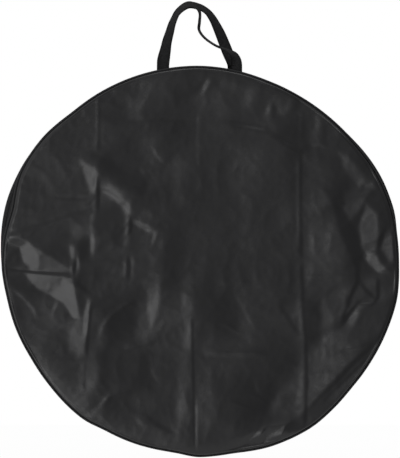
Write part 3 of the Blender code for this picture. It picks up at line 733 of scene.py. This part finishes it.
def relief(lines, faces, ridges, seed):
    """Height of the folds, in metres, as a square of points over the picture.

    It has the asked slopes, and the ridges and the small random rumples of empty cloth on top.
    """
    size = SQUARE * FINE
    line = np.arange(size) / FINE - BORDER
    u, v = np.meshgrid(line, line)
    slope = np.zeros(u.shape)
    for mark, rows, reach in ((line_mark, lines, 3), (face_mark, faces, 1)):
        for width, steep, *points in rows:
            margin = reach * width + 2
            low = np.floor((np.min(points, 0) - margin + BORDER) * FINE).astype(int)
            high = np.ceil((np.max(points, 0) + margin + BORDER) * FINE).astype(int)
            part = np.s_[low[1]:high[1], low[0]:high[0]]
            slope[part] += FULL_SLOPE * steep * mark(u[part], v[part], points, width)
    per_pixel = 2 * math.pi * np.fft.fftfreq(size, 1 / FINE)
    ku, kv = np.meshgrid(per_pixel, per_pixel)
    height = slopes_to_height(slope, ku, kv)
    for rise, below, above, *points in ridges:
        height += ridge_height(u, v, points, rise / 1000, below, above)
    source = np.random.default_rng(seed)
    for length, rise, creased in RUMPLES:
        near = np.exp(-((np.hypot(ku, kv) * length / (2 * math.pi) - 1) / RUMPLE_SPREAD) ** 2)
        field = np.fft.ifft2(near * np.fft.fft2(source.standard_normal(u.shape))).real
        field /= field.std()
        height += rise / 1000 * (-np.abs(field) if creased else field)
    return height


def spline_weights(t):
    """Smooth blending weights of four neighbours."""
    return ((1 - t) ** 3 / 6, (3 * t**3 - 6 * t**2 + 4) / 6,
            (-3 * t**3 + 3 * t**2 + 3 * t + 1) / 6, t**3 / 6)


def sample(height, x, z):
    """Read a relief at places of the panel, smoothly between its points."""
    a = (x / PIXEL + MIDDLE_PIXEL[0] + BORDER) * FINE
    b = (MIDDLE_PIXEL[1] - (z - CENTRE[2]) / PIXEL + BORDER) * FINE
    i, j = np.floor(b).astype(int), np.floor(a).astype(int)
    total = 0
    for di, share_i in zip((-1, 0, 1, 2), spline_weights(b - i)):
        for dj, share_j in zip((-1, 0, 1, 2), spline_weights(a - j)):
            total = total + share_i * share_j * height[i + di, j + dj]
    return total


def rim_level(height, side, angle):
    """A relief's height near the rim, evened out along it, at the asked angles."""
    degrees = np.arange(360)
    edge = rim_places(np.radians(degrees), SEAM_EDGE, side * PANEL_Y)
    rim = CENTRE + LEVEL_SHARE * (edge - CENTRE)
    level = sample(height, rim[:, 0], rim[:, 2])
    near = np.exp(-(np.minimum(degrees, 360 - degrees) / LEVEL_DEGREES) ** 2)
    level = np.fft.ifft(np.fft.fft(level) * np.fft.fft(near / near.sum())).real
    return np.interp(np.degrees(angle), degrees, level, period=360)


def disc_grid(count):
    """A square grid pressed into a round: share of the way out, and angle, for each point."""
    line = np.linspace(-1, 1, count)
    a, b = np.meshgrid(line, line)
    p, q = a * np.sqrt(1 - b * b / 2), b * np.sqrt(1 - a * a / 2)
    return np.minimum(np.hypot(p, q), 1.0).ravel(), np.arctan2(q, p).ravel()


def panel_bulge(share, angle):
    """How far a panel stands out: it rolls up beside the binding and settles further in."""
    width = read_round(ROLL_WIDTH, np.degrees(angle))
    rolled = np.clip(((1 - share) * BAG_RADIUS - ROLL_START) / width, 0, 1)
    across = np.clip((share - FLAT_SHARE) / (EDGE_SHARE - FLAT_SHARE), 0, 1)
    settled = (PANEL_BULGE - ROLL_HEIGHT) * (1 + np.cos(math.pi * across)) / 2
    return ROLL_HEIGHT * np.sin(math.pi / 2 * rolled) + settled


def seam_marks(share, angle, seed):
    """Small puckers near the seam, and the groove that its stitching pulls in."""
    puckers = PUCKER_HEIGHT * waves(angle * BAG_RADIUS, seed, PUCKER_WAVES)
    puckers *= ease(share, *PUCKER_END) * ease(share, *PUCKER_START)
    groove = np.exp(-(((1 - share) * BAG_RADIUS - GROOVE_IN) / GROOVE_WIDTH) ** 2)
    groove *= GROOVE_EVEN + GROOVE_UPPER * np.sin(angle)
    return puckers - GROOVE_DEPTH * groove


def panel_cloth(name, side, count, folds, surface, seed):
    """A round cloth panel with its folds, from a grid of so many points along each side."""
    share, angle = disc_grid(count)
    share = share + RIM_CROWDING * share**8 * (1 - share)
    edge = rim_places(angle, SEAM_EDGE, side * PANEL_Y)
    outer = CENTRE + share[:, None] * (edge - CENTRE)
    x, z = outer[:, 0], outer[:, 2]
    height = relief(*folds, seed)
    lift = sample(height, x, z) - rim_level(height, side, angle) * share**3
    lift = lift * ease(share, *FOLD_FADE) + seam_marks(share, angle, seed)
    outer[:, 1] = side * (PANEL_Y + panel_bulge(share, angle) + lift)
    inner = outer - (0, side * PANEL_CLOTH, 0)
    uvs = np.stack((x, z), -1)
    return add_mesh(name, np.concatenate((outer, inner)), sheet_faces(count),
                    np.concatenate((uvs, uvs)), surface)


def binding_section(side):
    """Folded tape over a seam: a narrow U with a rounded back."""
    middle = (BINDING_OUTER_Y + BINDING_INNER_Y) / 2
    half = (BINDING_OUTER_Y - BINDING_INNER_Y) / 2
    outer, inner = [], []
    for turn in np.linspace(0, math.pi, num=9):
        back = 1 - math.sin(turn)
        outer.append((BINDING_ROUND[0] * back, side * (middle + half * math.cos(turn))))
        inner.append((BINDING_WALL + BINDING_ROUND[1] * back,
                      side * (middle + (half - BINDING_WALL) * math.cos(turn))))
    inner_leg = ((BINDING_DEPTH, side * BINDING_INNER_Y),
                 (BINDING_DEPTH, side * (BINDING_INNER_Y + BINDING_WALL)))
    outer_leg = ((BINDING_FACE, side * (BINDING_OUTER_Y - BINDING_WALL)),
                 (BINDING_FACE, side * BINDING_OUTER_Y))
    return [*outer, *inner_leg, *inner[::-1], *outer_leg]


def binding_tape(name, side, surface, seeds):
    """The bound seam of one face. Its free edge and its height over the seam wander."""
    def wander(angles, depth, y):
        along = angles * BAG_RADIUS
        edge = EDGE_WANDER * waves(along, seeds[0], EDGE_WAVES)
        swell = SWELL_WANDER * waves(along, seeds[1], SWELL_WAVES)
        deep = ease(depth, 0, BINDING_DEPTH)
        outside = np.sign(np.abs(y) - FLANGE_Y)
        return depth + edge * deep, y + side * swell * outside * deep
    return sweep(name, binding_section(side), 0, 2 * math.pi, BINDING_STEPS, surface,
                 "binding_tape", wander)


def seam_thread(name, side, surface):
    """Lock stitches along the rim: each is a short raised thread that dips in at both ends."""
    places, faces, uvs = [], [], []
    stitch_faces = tube_faces(len(STITCH_RISES), THREAD_SIDES)
    count = int(2 * math.pi * BAG_RADIUS / (STITCH_LENGTH + STITCH_GAP))
    for depth, y, outward in SEAM_ROWS:
        out = side * outward
        for i in range(count):
            base = len(places)
            for share, rise in STITCH_RISES:
                at = 2 * math.pi * i / count + share * STITCH_LENGTH / BAG_RADIUS
                for turn in range(THREAD_SIDES):
                    bend = out * 2 * math.pi * turn / THREAD_SIDES
                    lift = out * THREAD_HALF * (rise + math.cos(bend))
                    sideways = THREAD_HALF_WIDTH * math.sin(bend)
                    places.append((at, depth + sideways, side * y + lift))
                    uvs.append((at * BAG_RADIUS, bend * THREAD_ROUND))
            faces.extend([base + k for k in face] for face in stitch_faces)
    return add_mesh(name, rim_places(*np.array(places).T), faces, uvs, surface)


def tail_span(length):
    """Start and end angle of the zip, with a tail this long below the middle at each side."""
    return -length / BAG_RADIUS, math.pi + length / BAG_RADIUS


def zip_tape(name, side, surface, seed):
    """Zip tape: flat across the band, its outer edge turned up into the bound seam."""
    outside = [(BAND_INSET, side * y)
               for y in np.linspace(COIL_NEAR, FLANGE_Y - SEAM_CORNER, num=8)]
    inside = [(depth + TAPE_CLOTH, y) for depth, y in outside[::-1]]
    turned = [(TURN_OUTSIDE, side * FLANGE_Y), (SEAM_EDGE, side * FLANGE_Y),
              (SEAM_EDGE, side * (FLANGE_Y + TAPE_CLOTH)),
              (TURN_INSIDE, side * (FLANGE_Y + TAPE_CLOTH))]

    def wander(angles, depth, y):
        slack = ease(np.abs(y), *TAPE_SLACK) * ease(np.abs(y), *COIL_ROOM)
        sag = waves(angles * BAG_RADIUS + TAPE_SLANT * y, seed, TAPE_WAVES)
        return depth + TAPE_SAG * sag * slack, y
    return sweep(name, [*outside, *turned, *inside], *tail_span(TAPE_TAIL), BAND_STEPS, surface,
                 "zip_tape", wander)


def lower_band(name, surface):
    """The lower band: a flat strip with both edges turned up into the bound seams."""
    flat = FLANGE_Y - SEAM_CORNER
    outside = [(BAND_INSET, y) for y in np.linspace(-flat, flat, num=14)]
    inside = [(depth + BAND_CLOTH, y) for depth, y in outside[::-1]]
    left = [(TURN_INSIDE, -FLANGE_Y - BAND_CLOTH), (SEAM_EDGE, -FLANGE_Y - BAND_CLOTH),
            (SEAM_EDGE, -FLANGE_Y), (TURN_OUTSIDE, -FLANGE_Y)]
    right = [(depth, -y) for depth, y in left[::-1]]

    def wander(angles, depth, y):
        sag = sum(waves(angles * BAG_RADIUS + slant * y, seed, lengths)
                  for slant, seed, lengths in BAND_WAVES)
        return depth + BAND_SAG * sag * ease(np.abs(y), *BAND_SLACK), y
    zip_start, zip_end = tail_span(TAPE_TAIL + CLEARANCE)
    return sweep(name, [*left, *outside, *right, *inside], zip_end, 2 * math.pi + zip_start,
                 BAND_STEPS, surface, "band_cloth", wander)


def coil_teeth(name, side, surface):
    """The zip's coil: a row of rounded teeth that reach over the middle of the zip."""
    start, end = tail_span(COIL_TAIL)
    count = int((end - start) * BAG_RADIUS / COIL_PITCH)
    middle = (COIL_BASE + COIL_TOP) / 2
    half = (COIL_BASE - COIL_TOP) / 2
    tooth = np.array([(a * TOOTH_HALF * wide, side * y, middle - b * half * high)
                      for y, wide, high in TOOTH_RINGS for a, b in TOOTH_CORNERS])
    along, y, depth = tooth.T
    angles = start + (np.arange(count) + TOOTH_OFFSETS[side])[:, None] * COIL_PITCH / BAG_RADIUS
    tooth_faces = tube_faces(len(TOOTH_RINGS), len(TOOTH_CORNERS))
    faces = [[i * len(tooth) + k for k in face] for i in range(count) for face in tooth_faces]
    return add_mesh(name, rim_places(angles + along / BAG_RADIUS, depth, y), faces, None,
                    surface, TOOTH_CRISP)


def end_tab(name, surface, right):
    """A cloth tab over the end of the zip, bowed out a little, its edges folded under."""
    bowed = [(-TAB_BOW * math.cos(math.pi * y / 2 / TAB_HALF), y)
             for y in np.linspace(-TAB_BOWED, TAB_BOWED, num=9)]
    folded = [(TAB_OUTSIDE, TAB_HALF - TAB_EDGE), (TAB_OUTSIDE + TAB_BOW, TAB_HALF)]
    section = [(depth, -y) for depth, y in folded[::-1]]
    section += [(TAB_OUTSIDE + bow, y) for bow, y in bowed]
    section += [*folded, (COIL_BASE, TAB_HALF)]
    section += [(COIL_BASE + bow, y) for bow, y in bowed[::-1]]
    section += [(COIL_BASE, -TAB_HALF)]
    near, far = (length / BAG_RADIUS for length in TAB_SPAN)
    start, end = (-far, -near) if right else (math.pi + near, math.pi + far)
    return sweep(name, section, start, end, TAB_STEPS, surface, "band_cloth")


def smooth_route(rows):
    """A rounded line through the rows of a route."""
    padded = [rows[0], *rows, rows[-1]]
    route = []
    for before, start, end, after in zip(padded, padded[1:], padded[2:], padded[3:]):
        for step in range(ROUTE_STEPS):
            t = step / ROUTE_STEPS
            route.append(tuple(
                0.5 * (2 * b + (c - a) * t + (2 * a - 5 * b + 4 * c - d) * t * t
                       + (3 * b - a - 3 * c + d) * t**3)
                for a, b, c, d in zip(before, start, end, after)))
    route.append(tuple(rows[-1]))
    return route


def strap_outline():
    """Webbing seen end on: flat, and thinner towards its rounded woven edges."""
    half, thick = STRAP_WIDTH / 2, STRAP_THICKNESS / 2
    edge = [(from_edge - half, share * thick) for from_edge, share in STRAP_EDGE]
    flat = half - STRAP_FLAT
    top = edge + [(x, thick) for x in np.linspace(-flat, flat, num=7)]
    top += [(-x, y) for x, y in edge[::-1]]
    return top + [(x, -y) for x, y in top[::-1]]


def make_strap(name, side, shares, surface):
    """A webbing handle swept along its route, its two ends sewn down behind the bound seam."""
    rows = [(x * HANDLE_SPACING / 2, side * STRAP_Y + y * STRAP_WIDTH,
             HANDLE_Z + z * HANDLE_RISE, math.radians(tilt)) for x, z, y, tilt in shares]
    foot = [(side * STRAP_Y, z, 0.0) for z in np.linspace(STRAP_FOOT_Z, HANDLE_Z, FOOT_STEPS)]
    route = [(rows[0][0], *row) for row in foot[:-1]]
    route += smooth_route(rows)
    route += [(rows[-1][0], *row) for row in foot[-2::-1]]
    places = [Vector(row[:3]) for row in route]
    outline = strap_outline()
    points, uvs = [], []
    run = 0.0
    for i, place in enumerate(places):
        before, after = places[max(i - 1, 0)], places[min(i + 1, len(places) - 1)]
        along = (after - before).normalized()
        if i < FOOT_STEPS:
            along = Vector((0, 0, 1))
        elif i >= len(places) - FOOT_STEPS:
            along = Vector((0, 0, -1))
        in_plane = along.cross(Vector((0, 1, 0))).normalized()
        depth_way = in_plane.cross(along).normalized()
        tilt = route[i][3]
        wide = math.cos(tilt) * in_plane + math.sin(tilt) * depth_way
        thick = along.cross(wide).normalized()
        run += (place - before).length
        for a, b in outline:
            points.append(place + wide * a + thick * b)
            uvs.append((run, a + (FACE_GAP if b < 0 else 0)))
    return add_mesh(name, points, tube_faces(len(places), len(outline)), uvs, surface)


def new_node(tree, kind, sockets):
    """A node with its sockets, by name or number, set to values or linked to node outputs."""
    node = tree.nodes.new("ShaderNode" + kind)
    for socket, value in sockets.items():
        if isinstance(value, bpy.types.NodeSocket):
            tree.links.new(value, node.inputs[socket])
        else:
            node.inputs[socket].default_value = value
    return node


def math_node(tree, kind, first, second):
    """Sum, product and so on of two numbers or node outputs."""
    node = new_node(tree, "Math", {0: first, 1: second})
    node.operation = kind
    return node.outputs["Value"]


def spread(tree, value, start, end, low, high):
    """A value between a start and an end, spread between a low and a high number."""
    node = new_node(tree, "MapRange", {0: value, 1: start, 2: end, 3: low, 4: high})
    return node.outputs["Result"]


class Surface:
    """A Principled material with a few helpers to add nodes."""

    def __init__(self, name, roughness, specular, metallic=0.0):
        self.made = bpy.data.materials.new(name)
        self.made.use_nodes = True
        self.tree = self.made.node_tree
        self.shader = self.tree.nodes["Principled BSDF"]
        self.shader.inputs["Roughness"].default_value = roughness
        self.shader.inputs["Specular IOR Level"].default_value = specular
        self.shader.inputs["Metallic"].default_value = metallic

    def coordinates(self, space="UV"):
        """Texture places in metres."""
        return new_node(self.tree, "TexCoord", {}).outputs[space]

    def noise(self, place, scale, detail, roughness=0.6):
        """Cloudy grain from 0 to 1, with so many clouds to a metre and layers of detail."""
        sockets = {"Vector": place, "Scale": scale, "Detail": detail, "Roughness": roughness}
        return new_node(self.tree, "TexNoise", sockets).outputs["Fac"]

    def ribs(self, place, scale, way):
        """Even ribs along X or Y, some 3.2 times the scale to a metre."""
        node = new_node(self.tree, "TexWave", {"Vector": place, "Scale": scale})
        node.bands_direction = way
        return node.outputs["Fac"]

    def math(self, kind, first, second):
        """Sum, product and so on of two numbers or node outputs."""
        return math_node(self.tree, kind, first, second)

    def painted_edge_shade(self, place):
        """Painted edge shade: 1 over the middle of webbing, less towards its two edges, on either
        face.
        """
        apart = new_node(self.tree, "SeparateXYZ", {"Vector": place})
        across = self.math("ADD", apart.outputs["Y"], FACE_GAP / 2)
        across = self.math("SUBTRACT", self.math("MODULO", across, FACE_GAP), FACE_GAP / 2)
        away = self.math("DIVIDE", self.math("ABSOLUTE", across, 0), STRAP_WIDTH / 2)
        return self.math("SUBTRACT", 1.0, self.math("POWER", away, 3.0))

    def ramp(self, value, low, high, socket):
        """Spread a 0 to 1 value between two numbers or two colours, into a shader socket."""
        if isinstance(low, tuple):
            node = new_node(self.tree, "Mix", {"Factor": value})
            node.data_type = "RGBA"
            first, second = (entry for entry in node.inputs if entry.type == "RGBA")
            first.default_value = (*low, 1)
            second.default_value = (*high, 1)
            result = next(entry for entry in node.outputs if entry.type == "RGBA")
        else:
            result = spread(self.tree, value, 0.0, 1.0, low, high)
        self.tree.links.new(result, self.shader.inputs[socket])

    def bump(self, value, distance, strength, before=None):
        """Small relief of so many metres, on top of the relief before it."""
        sockets = {"Height": value, "Distance": distance, "Strength": strength}
        if before is not None:
            sockets["Normal"] = before
        relieved = new_node(self.tree, "Bump", sockets).outputs["Normal"]
        self.tree.links.new(relieved, self.shader.inputs["Normal"])
        return relieved


def coated_cloth(name, roughness, specular):
    """Thin black coated polyester: a fine plain weave under a soft sheen."""
    surface = Surface(name, roughness, specular)
    metres = surface.coordinates()
    surface.ramp(surface.noise(metres, scale=30, detail=4), *CLOTH_TONES, "Base Color")
    gloss = surface.noise(metres, scale=55, detail=5)
    surface.ramp(gloss, roughness - 0.05, roughness + 0.05, "Roughness")
    weave = surface.math("MULTIPLY", surface.ribs(metres, scale=640, way="X"),
                         surface.ribs(metres, scale=640, way="Y"))
    crinkled = surface.bump(surface.noise(metres, scale=170, detail=5), 0.00012, strength=0.6)
    surface.bump(weave, 0.00003, strength=0.5, before=crinkled)
    return surface.made


def ribbed_tape(name, tones, rib_scale, roughness, specular):
    """Binding or zip tape: close ribs across its length."""
    surface = Surface(name, roughness, specular)
    metres = surface.coordinates()
    surface.ramp(surface.noise(metres, scale=120, detail=4), *tones, "Base Color")
    ribbed = surface.bump(surface.ribs(metres, rib_scale, "X"), 0.00010, strength=0.7)
    fuzz = surface.noise(metres, scale=900, detail=3, roughness=0.5)
    surface.bump(fuzz, 0.00005, strength=0.5, before=ribbed)
    return surface.made


def woven_webbing(name):
    """Polypropylene webbing: rows of crossing yarns, its colour darker towards both edges as
    painted shade.
    """
    surface = Surface(name, roughness=0.80, specular=0.15)
    metres = surface.coordinates()
    yarns = surface.math("MULTIPLY", surface.ribs(metres, scale=260, way="X"),
                         surface.ribs(metres, scale=330, way="Y"))
    shade = surface.math("MULTIPLY", surface.noise(metres, scale=240, detail=3), yarns)
    # Painted shade: the colour darkens towards the webbing's two edges, where its rounding turns
    # away from the light
    shade = surface.math("MULTIPLY", shade, surface.painted_edge_shade(metres))
    surface.ramp(shade, *STRAP_TONES, "Base Color")
    ribbed = surface.bump(yarns, 0.00030, strength=0.8)
    fuzz = surface.noise(metres, scale=1500, detail=2, roughness=0.5)
    surface.bump(fuzz, 0.00005, strength=0.4, before=ribbed)
    return surface.made


def plain_detail(name, tones, roughness, specular, scale, metallic=0.0):
    """Moulded, plated or twisted stuff: a fine grain in its colour, gloss and relief."""
    surface = Surface(name, roughness, specular, metallic)
    metres = surface.coordinates("Object")
    grain = surface.noise(metres, scale, detail=4)
    surface.ramp(grain, *tones, "Base Color")
    gloss = surface.noise(metres, scale * 1.7, detail=3, roughness=0.5)
    surface.ramp(gloss, roughness - 0.08, roughness + 0.08, "Roughness")
    surface.bump(grain, 0.00004, strength=0.5)
    return surface.made


def pale_floor():
    """A pale surface that the camera, gloss and glass see as nearly plain white."""
    surface = Surface("pale_floor", roughness=0.9, specular=0.5)
    surface.shader.inputs["Base Color"].default_value = (FLOOR_TONE, FLOOR_TONE, FLOOR_TONE, 1)
    seen = new_node(surface.tree, "LightPath", {}).outputs
    rays = surface.math("MAXIMUM", seen["Is Camera Ray"], seen["Is Glossy Ray"])
    rays = surface.math("MAXIMUM", rays, seen["Is Transmission Ray"])
    mix = new_node(surface.tree, "MixShader", {
        0: surface.math("MULTIPLY", rays, FLOOR_WHITE),
        1: surface.shader.outputs["BSDF"],
        2: new_node(surface.tree, "Emission", {}).outputs["Emission"]})
    ending = surface.tree.nodes["Material Output"]
    surface.tree.links.new(mix.outputs["Shader"], ending.inputs["Surface"])
    return surface.made


def make_floor():
    """A small pale floor that takes the bag's shadow."""
    x, y = np.meshgrid(np.linspace(*FLOOR_X, FLOOR_POINTS), np.linspace(*FLOOR_Y, FLOOR_POINTS))
    level = np.full(x.size, CAD_BOX[0].z - FLOOR_GAP)
    places = np.stack((x.ravel(), y.ravel(), level), -1)
    mesh = bpy.data.meshes.new("floor")
    mesh.from_pydata(places.tolist(), [], strip_faces(FLOOR_POINTS, FLOOR_POINTS).tolist())
    mesh.materials.append(pale_floor())
    add_object("floor", mesh)


def make_world():
    """A white studio whose gloss is bright to the left and dark to the right.

    The camera sees plain white. Behind the bag the gloss is brighter on both sides.
    """
    world = bpy.data.worlds.new("studio")
    bpy.context.scene.world = world
    world.use_nodes = True
    tree = world.node_tree
    way = new_node(tree, "TexCoord", {}).outputs["Generated"]
    across = new_node(tree, "VectorMath", {0: way, 1: WORLD_BRIGHT_WAY})
    across.operation = "DOT_PRODUCT"
    front = spread(tree, across.outputs["Value"], *WORLD_SPAN, *WORLD_LEVELS)
    rear = spread(tree, across.outputs["Value"], *WORLD_SPAN, *WORLD_REAR_LEVELS)
    backward = new_node(tree, "SeparateXYZ", {0: way}).outputs["Y"]
    behind = spread(tree, backward, *WORLD_BEHIND, 0.0, 1.0)
    room = math_node(tree, "MAXIMUM", front, math_node(tree, "MULTIPLY", behind, rear))
    seen = new_node(tree, "LightPath", {}).outputs
    clear = math_node(tree, "MAXIMUM", seen["Is Camera Ray"], seen["Is Transmission Ray"])
    gloss = math_node(tree, "MULTIPLY", seen["Is Glossy Ray"], room)
    soft = math_node(tree, "MAXIMUM", gloss, WORLD_SOFT)
    background = tree.nodes["Background"]
    background.inputs["Color"].default_value = (1, 1, 1, 1)
    tree.links.new(math_node(tree, "MAXIMUM", clear, soft), background.inputs["Strength"])


def add_lamp(name, place, target, size, power):
    """A soft upright lamp aimed at a point; its size is its width and height."""
    lamp = bpy.data.lights.new(name, "AREA")
    lamp.shape = "RECTANGLE"
    lamp.size, lamp.size_y = size
    lamp.energy = power
    obj = add_object(name, lamp)
    obj.location = place
    obj.rotation_mode = "QUATERNION"
    obj.rotation_quaternion = (Vector(target) - Vector(place)).to_track_quat("-Z", "Y")


def make_camera():
    """Straight in front of the bag at the height of the picture's middle."""
    camera = bpy.data.cameras.new("camera")
    camera.sensor_width = SENSOR
    camera.lens = SENSOR * CAMERA_AWAY / (PICTURE[1] * PIXEL)
    obj = add_object("camera", camera)
    obj.location = ((PICTURE[0] / 2 - MIDDLE_PIXEL[0]) * PIXEL, -CAMERA_AWAY - FRONT_FACE,
                    CENTRE[2] + (MIDDLE_PIXEL[1] - PICTURE[1] / 2) * PIXEL)
    obj.rotation_euler = (math.radians(90), 0, 0)
    bpy.context.scene.camera = obj


make_camera()
make_floor()
make_world()
for lamp_name, lamp_facts in LAMPS.items():
    add_lamp(lamp_name, *lamp_facts)
bpy.context.scene.view_settings.view_transform = "Standard"

# Surfaces
panel_surface = coated_cloth("panel_cloth", roughness=0.31, specular=0.35)
band_surface = coated_cloth("band_cloth", roughness=0.45, specular=0.26)
binding_surface = ribbed_tape("binding_tape", BINDING_TONES, rib_scale=555.554,
                              roughness=0.60, specular=0.22)
tape_surface = ribbed_tape("zip_tape", TAPE_TONES, rib_scale=714.284,
                           roughness=0.65, specular=0.25)
coil_surface = plain_detail("coil_nylon", COIL_TONES, roughness=0.35, specular=0.45, scale=900)
thread_surface = plain_detail("thread", THREAD_TONES, roughness=0.55, specular=0.30, scale=2400)
strap_surface = woven_webbing("webbing")
metal_surface = plain_detail("slider_metal", METAL_TONES, roughness=0.35, specular=0.50,
                             scale=500, metallic=1.0)

# Cloth panels
front_folds = (FRONT_SLOPE_LINES, FRONT_SLOPE_FACES, FRONT_RIDGES)
back_folds = (BACK_SLOPE_LINES, BACK_SLOPE_FACES, BACK_RIDGES)
front = panel_cloth("front_cloth", FRONT, FRONT_GRID, front_folds, panel_surface, seed=3)
back = panel_cloth("back_cloth", BACK, BACK_GRID, back_folds, panel_surface, seed=4)

# Seams, band and zip
front_binding = binding_tape("front_binding_tape", FRONT, binding_surface, seeds=(11, 13))
back_binding = binding_tape("back_binding_tape", BACK, binding_surface, seeds=(12, 14))
front_thread = seam_thread("front_seam_thread", FRONT, thread_surface)
back_thread = seam_thread("back_seam_thread", BACK, thread_surface)
front_tape = zip_tape("front_zip_tape", FRONT, tape_surface, seed=31)
back_tape = zip_tape("back_zip_tape", BACK, tape_surface, seed=32)
front_coil = coil_teeth("front_zip_coil", FRONT, coil_surface)
back_coil = coil_teeth("back_zip_coil", BACK, coil_surface)
gusset = lower_band("side_band", band_surface)
left_tab = end_tab("left_zip_tab", band_surface, right=False)
right_tab = end_tab("right_zip_tab", band_surface, right=True)

# Handles
front_strap = make_strap("front_strap", FRONT, FRONT_ROUTE, strap_surface)
back_strap = make_strap("back_strap", BACK, BACK_ROUTE, strap_surface)

# Slider and pull keep their solids, with a worn dark plating
for node in ("zip_slider_body", "zip_pull_tab"):
    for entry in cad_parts[node].material_slots:
        entry.material = metal_surface

# Bodies
for piece in (front, front_binding, front_thread, front_tape, front_coil):
    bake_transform(piece)
for piece in (back, back_binding, back_thread, back_tape, back_coil, gusset, left_tab, right_tab):
    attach(piece, "bag")
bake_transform(front_strap)
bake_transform(back_strap)

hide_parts("front_panel_flap", "front_panel_lower")
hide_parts("back_panel")
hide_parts("front_binding_upper", "front_binding_lower")
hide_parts("back_binding")
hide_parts("zip_tape_front", "zip_tape_tail_left", "zip_tape_tail_right")
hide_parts("zip_tape_back")
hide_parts("zip_coil_front", "zip_coil_tail_left", "zip_coil_tail_right")
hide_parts("zip_coil_back")
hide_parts("gusset_strip")
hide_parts("zip_end_tab_left")
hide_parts("zip_end_tab_right")
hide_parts("front_handle", "front_handle_end_left", "front_handle_end_right")
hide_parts("back_handle", "back_handle_end_left", "back_handle_end_right")
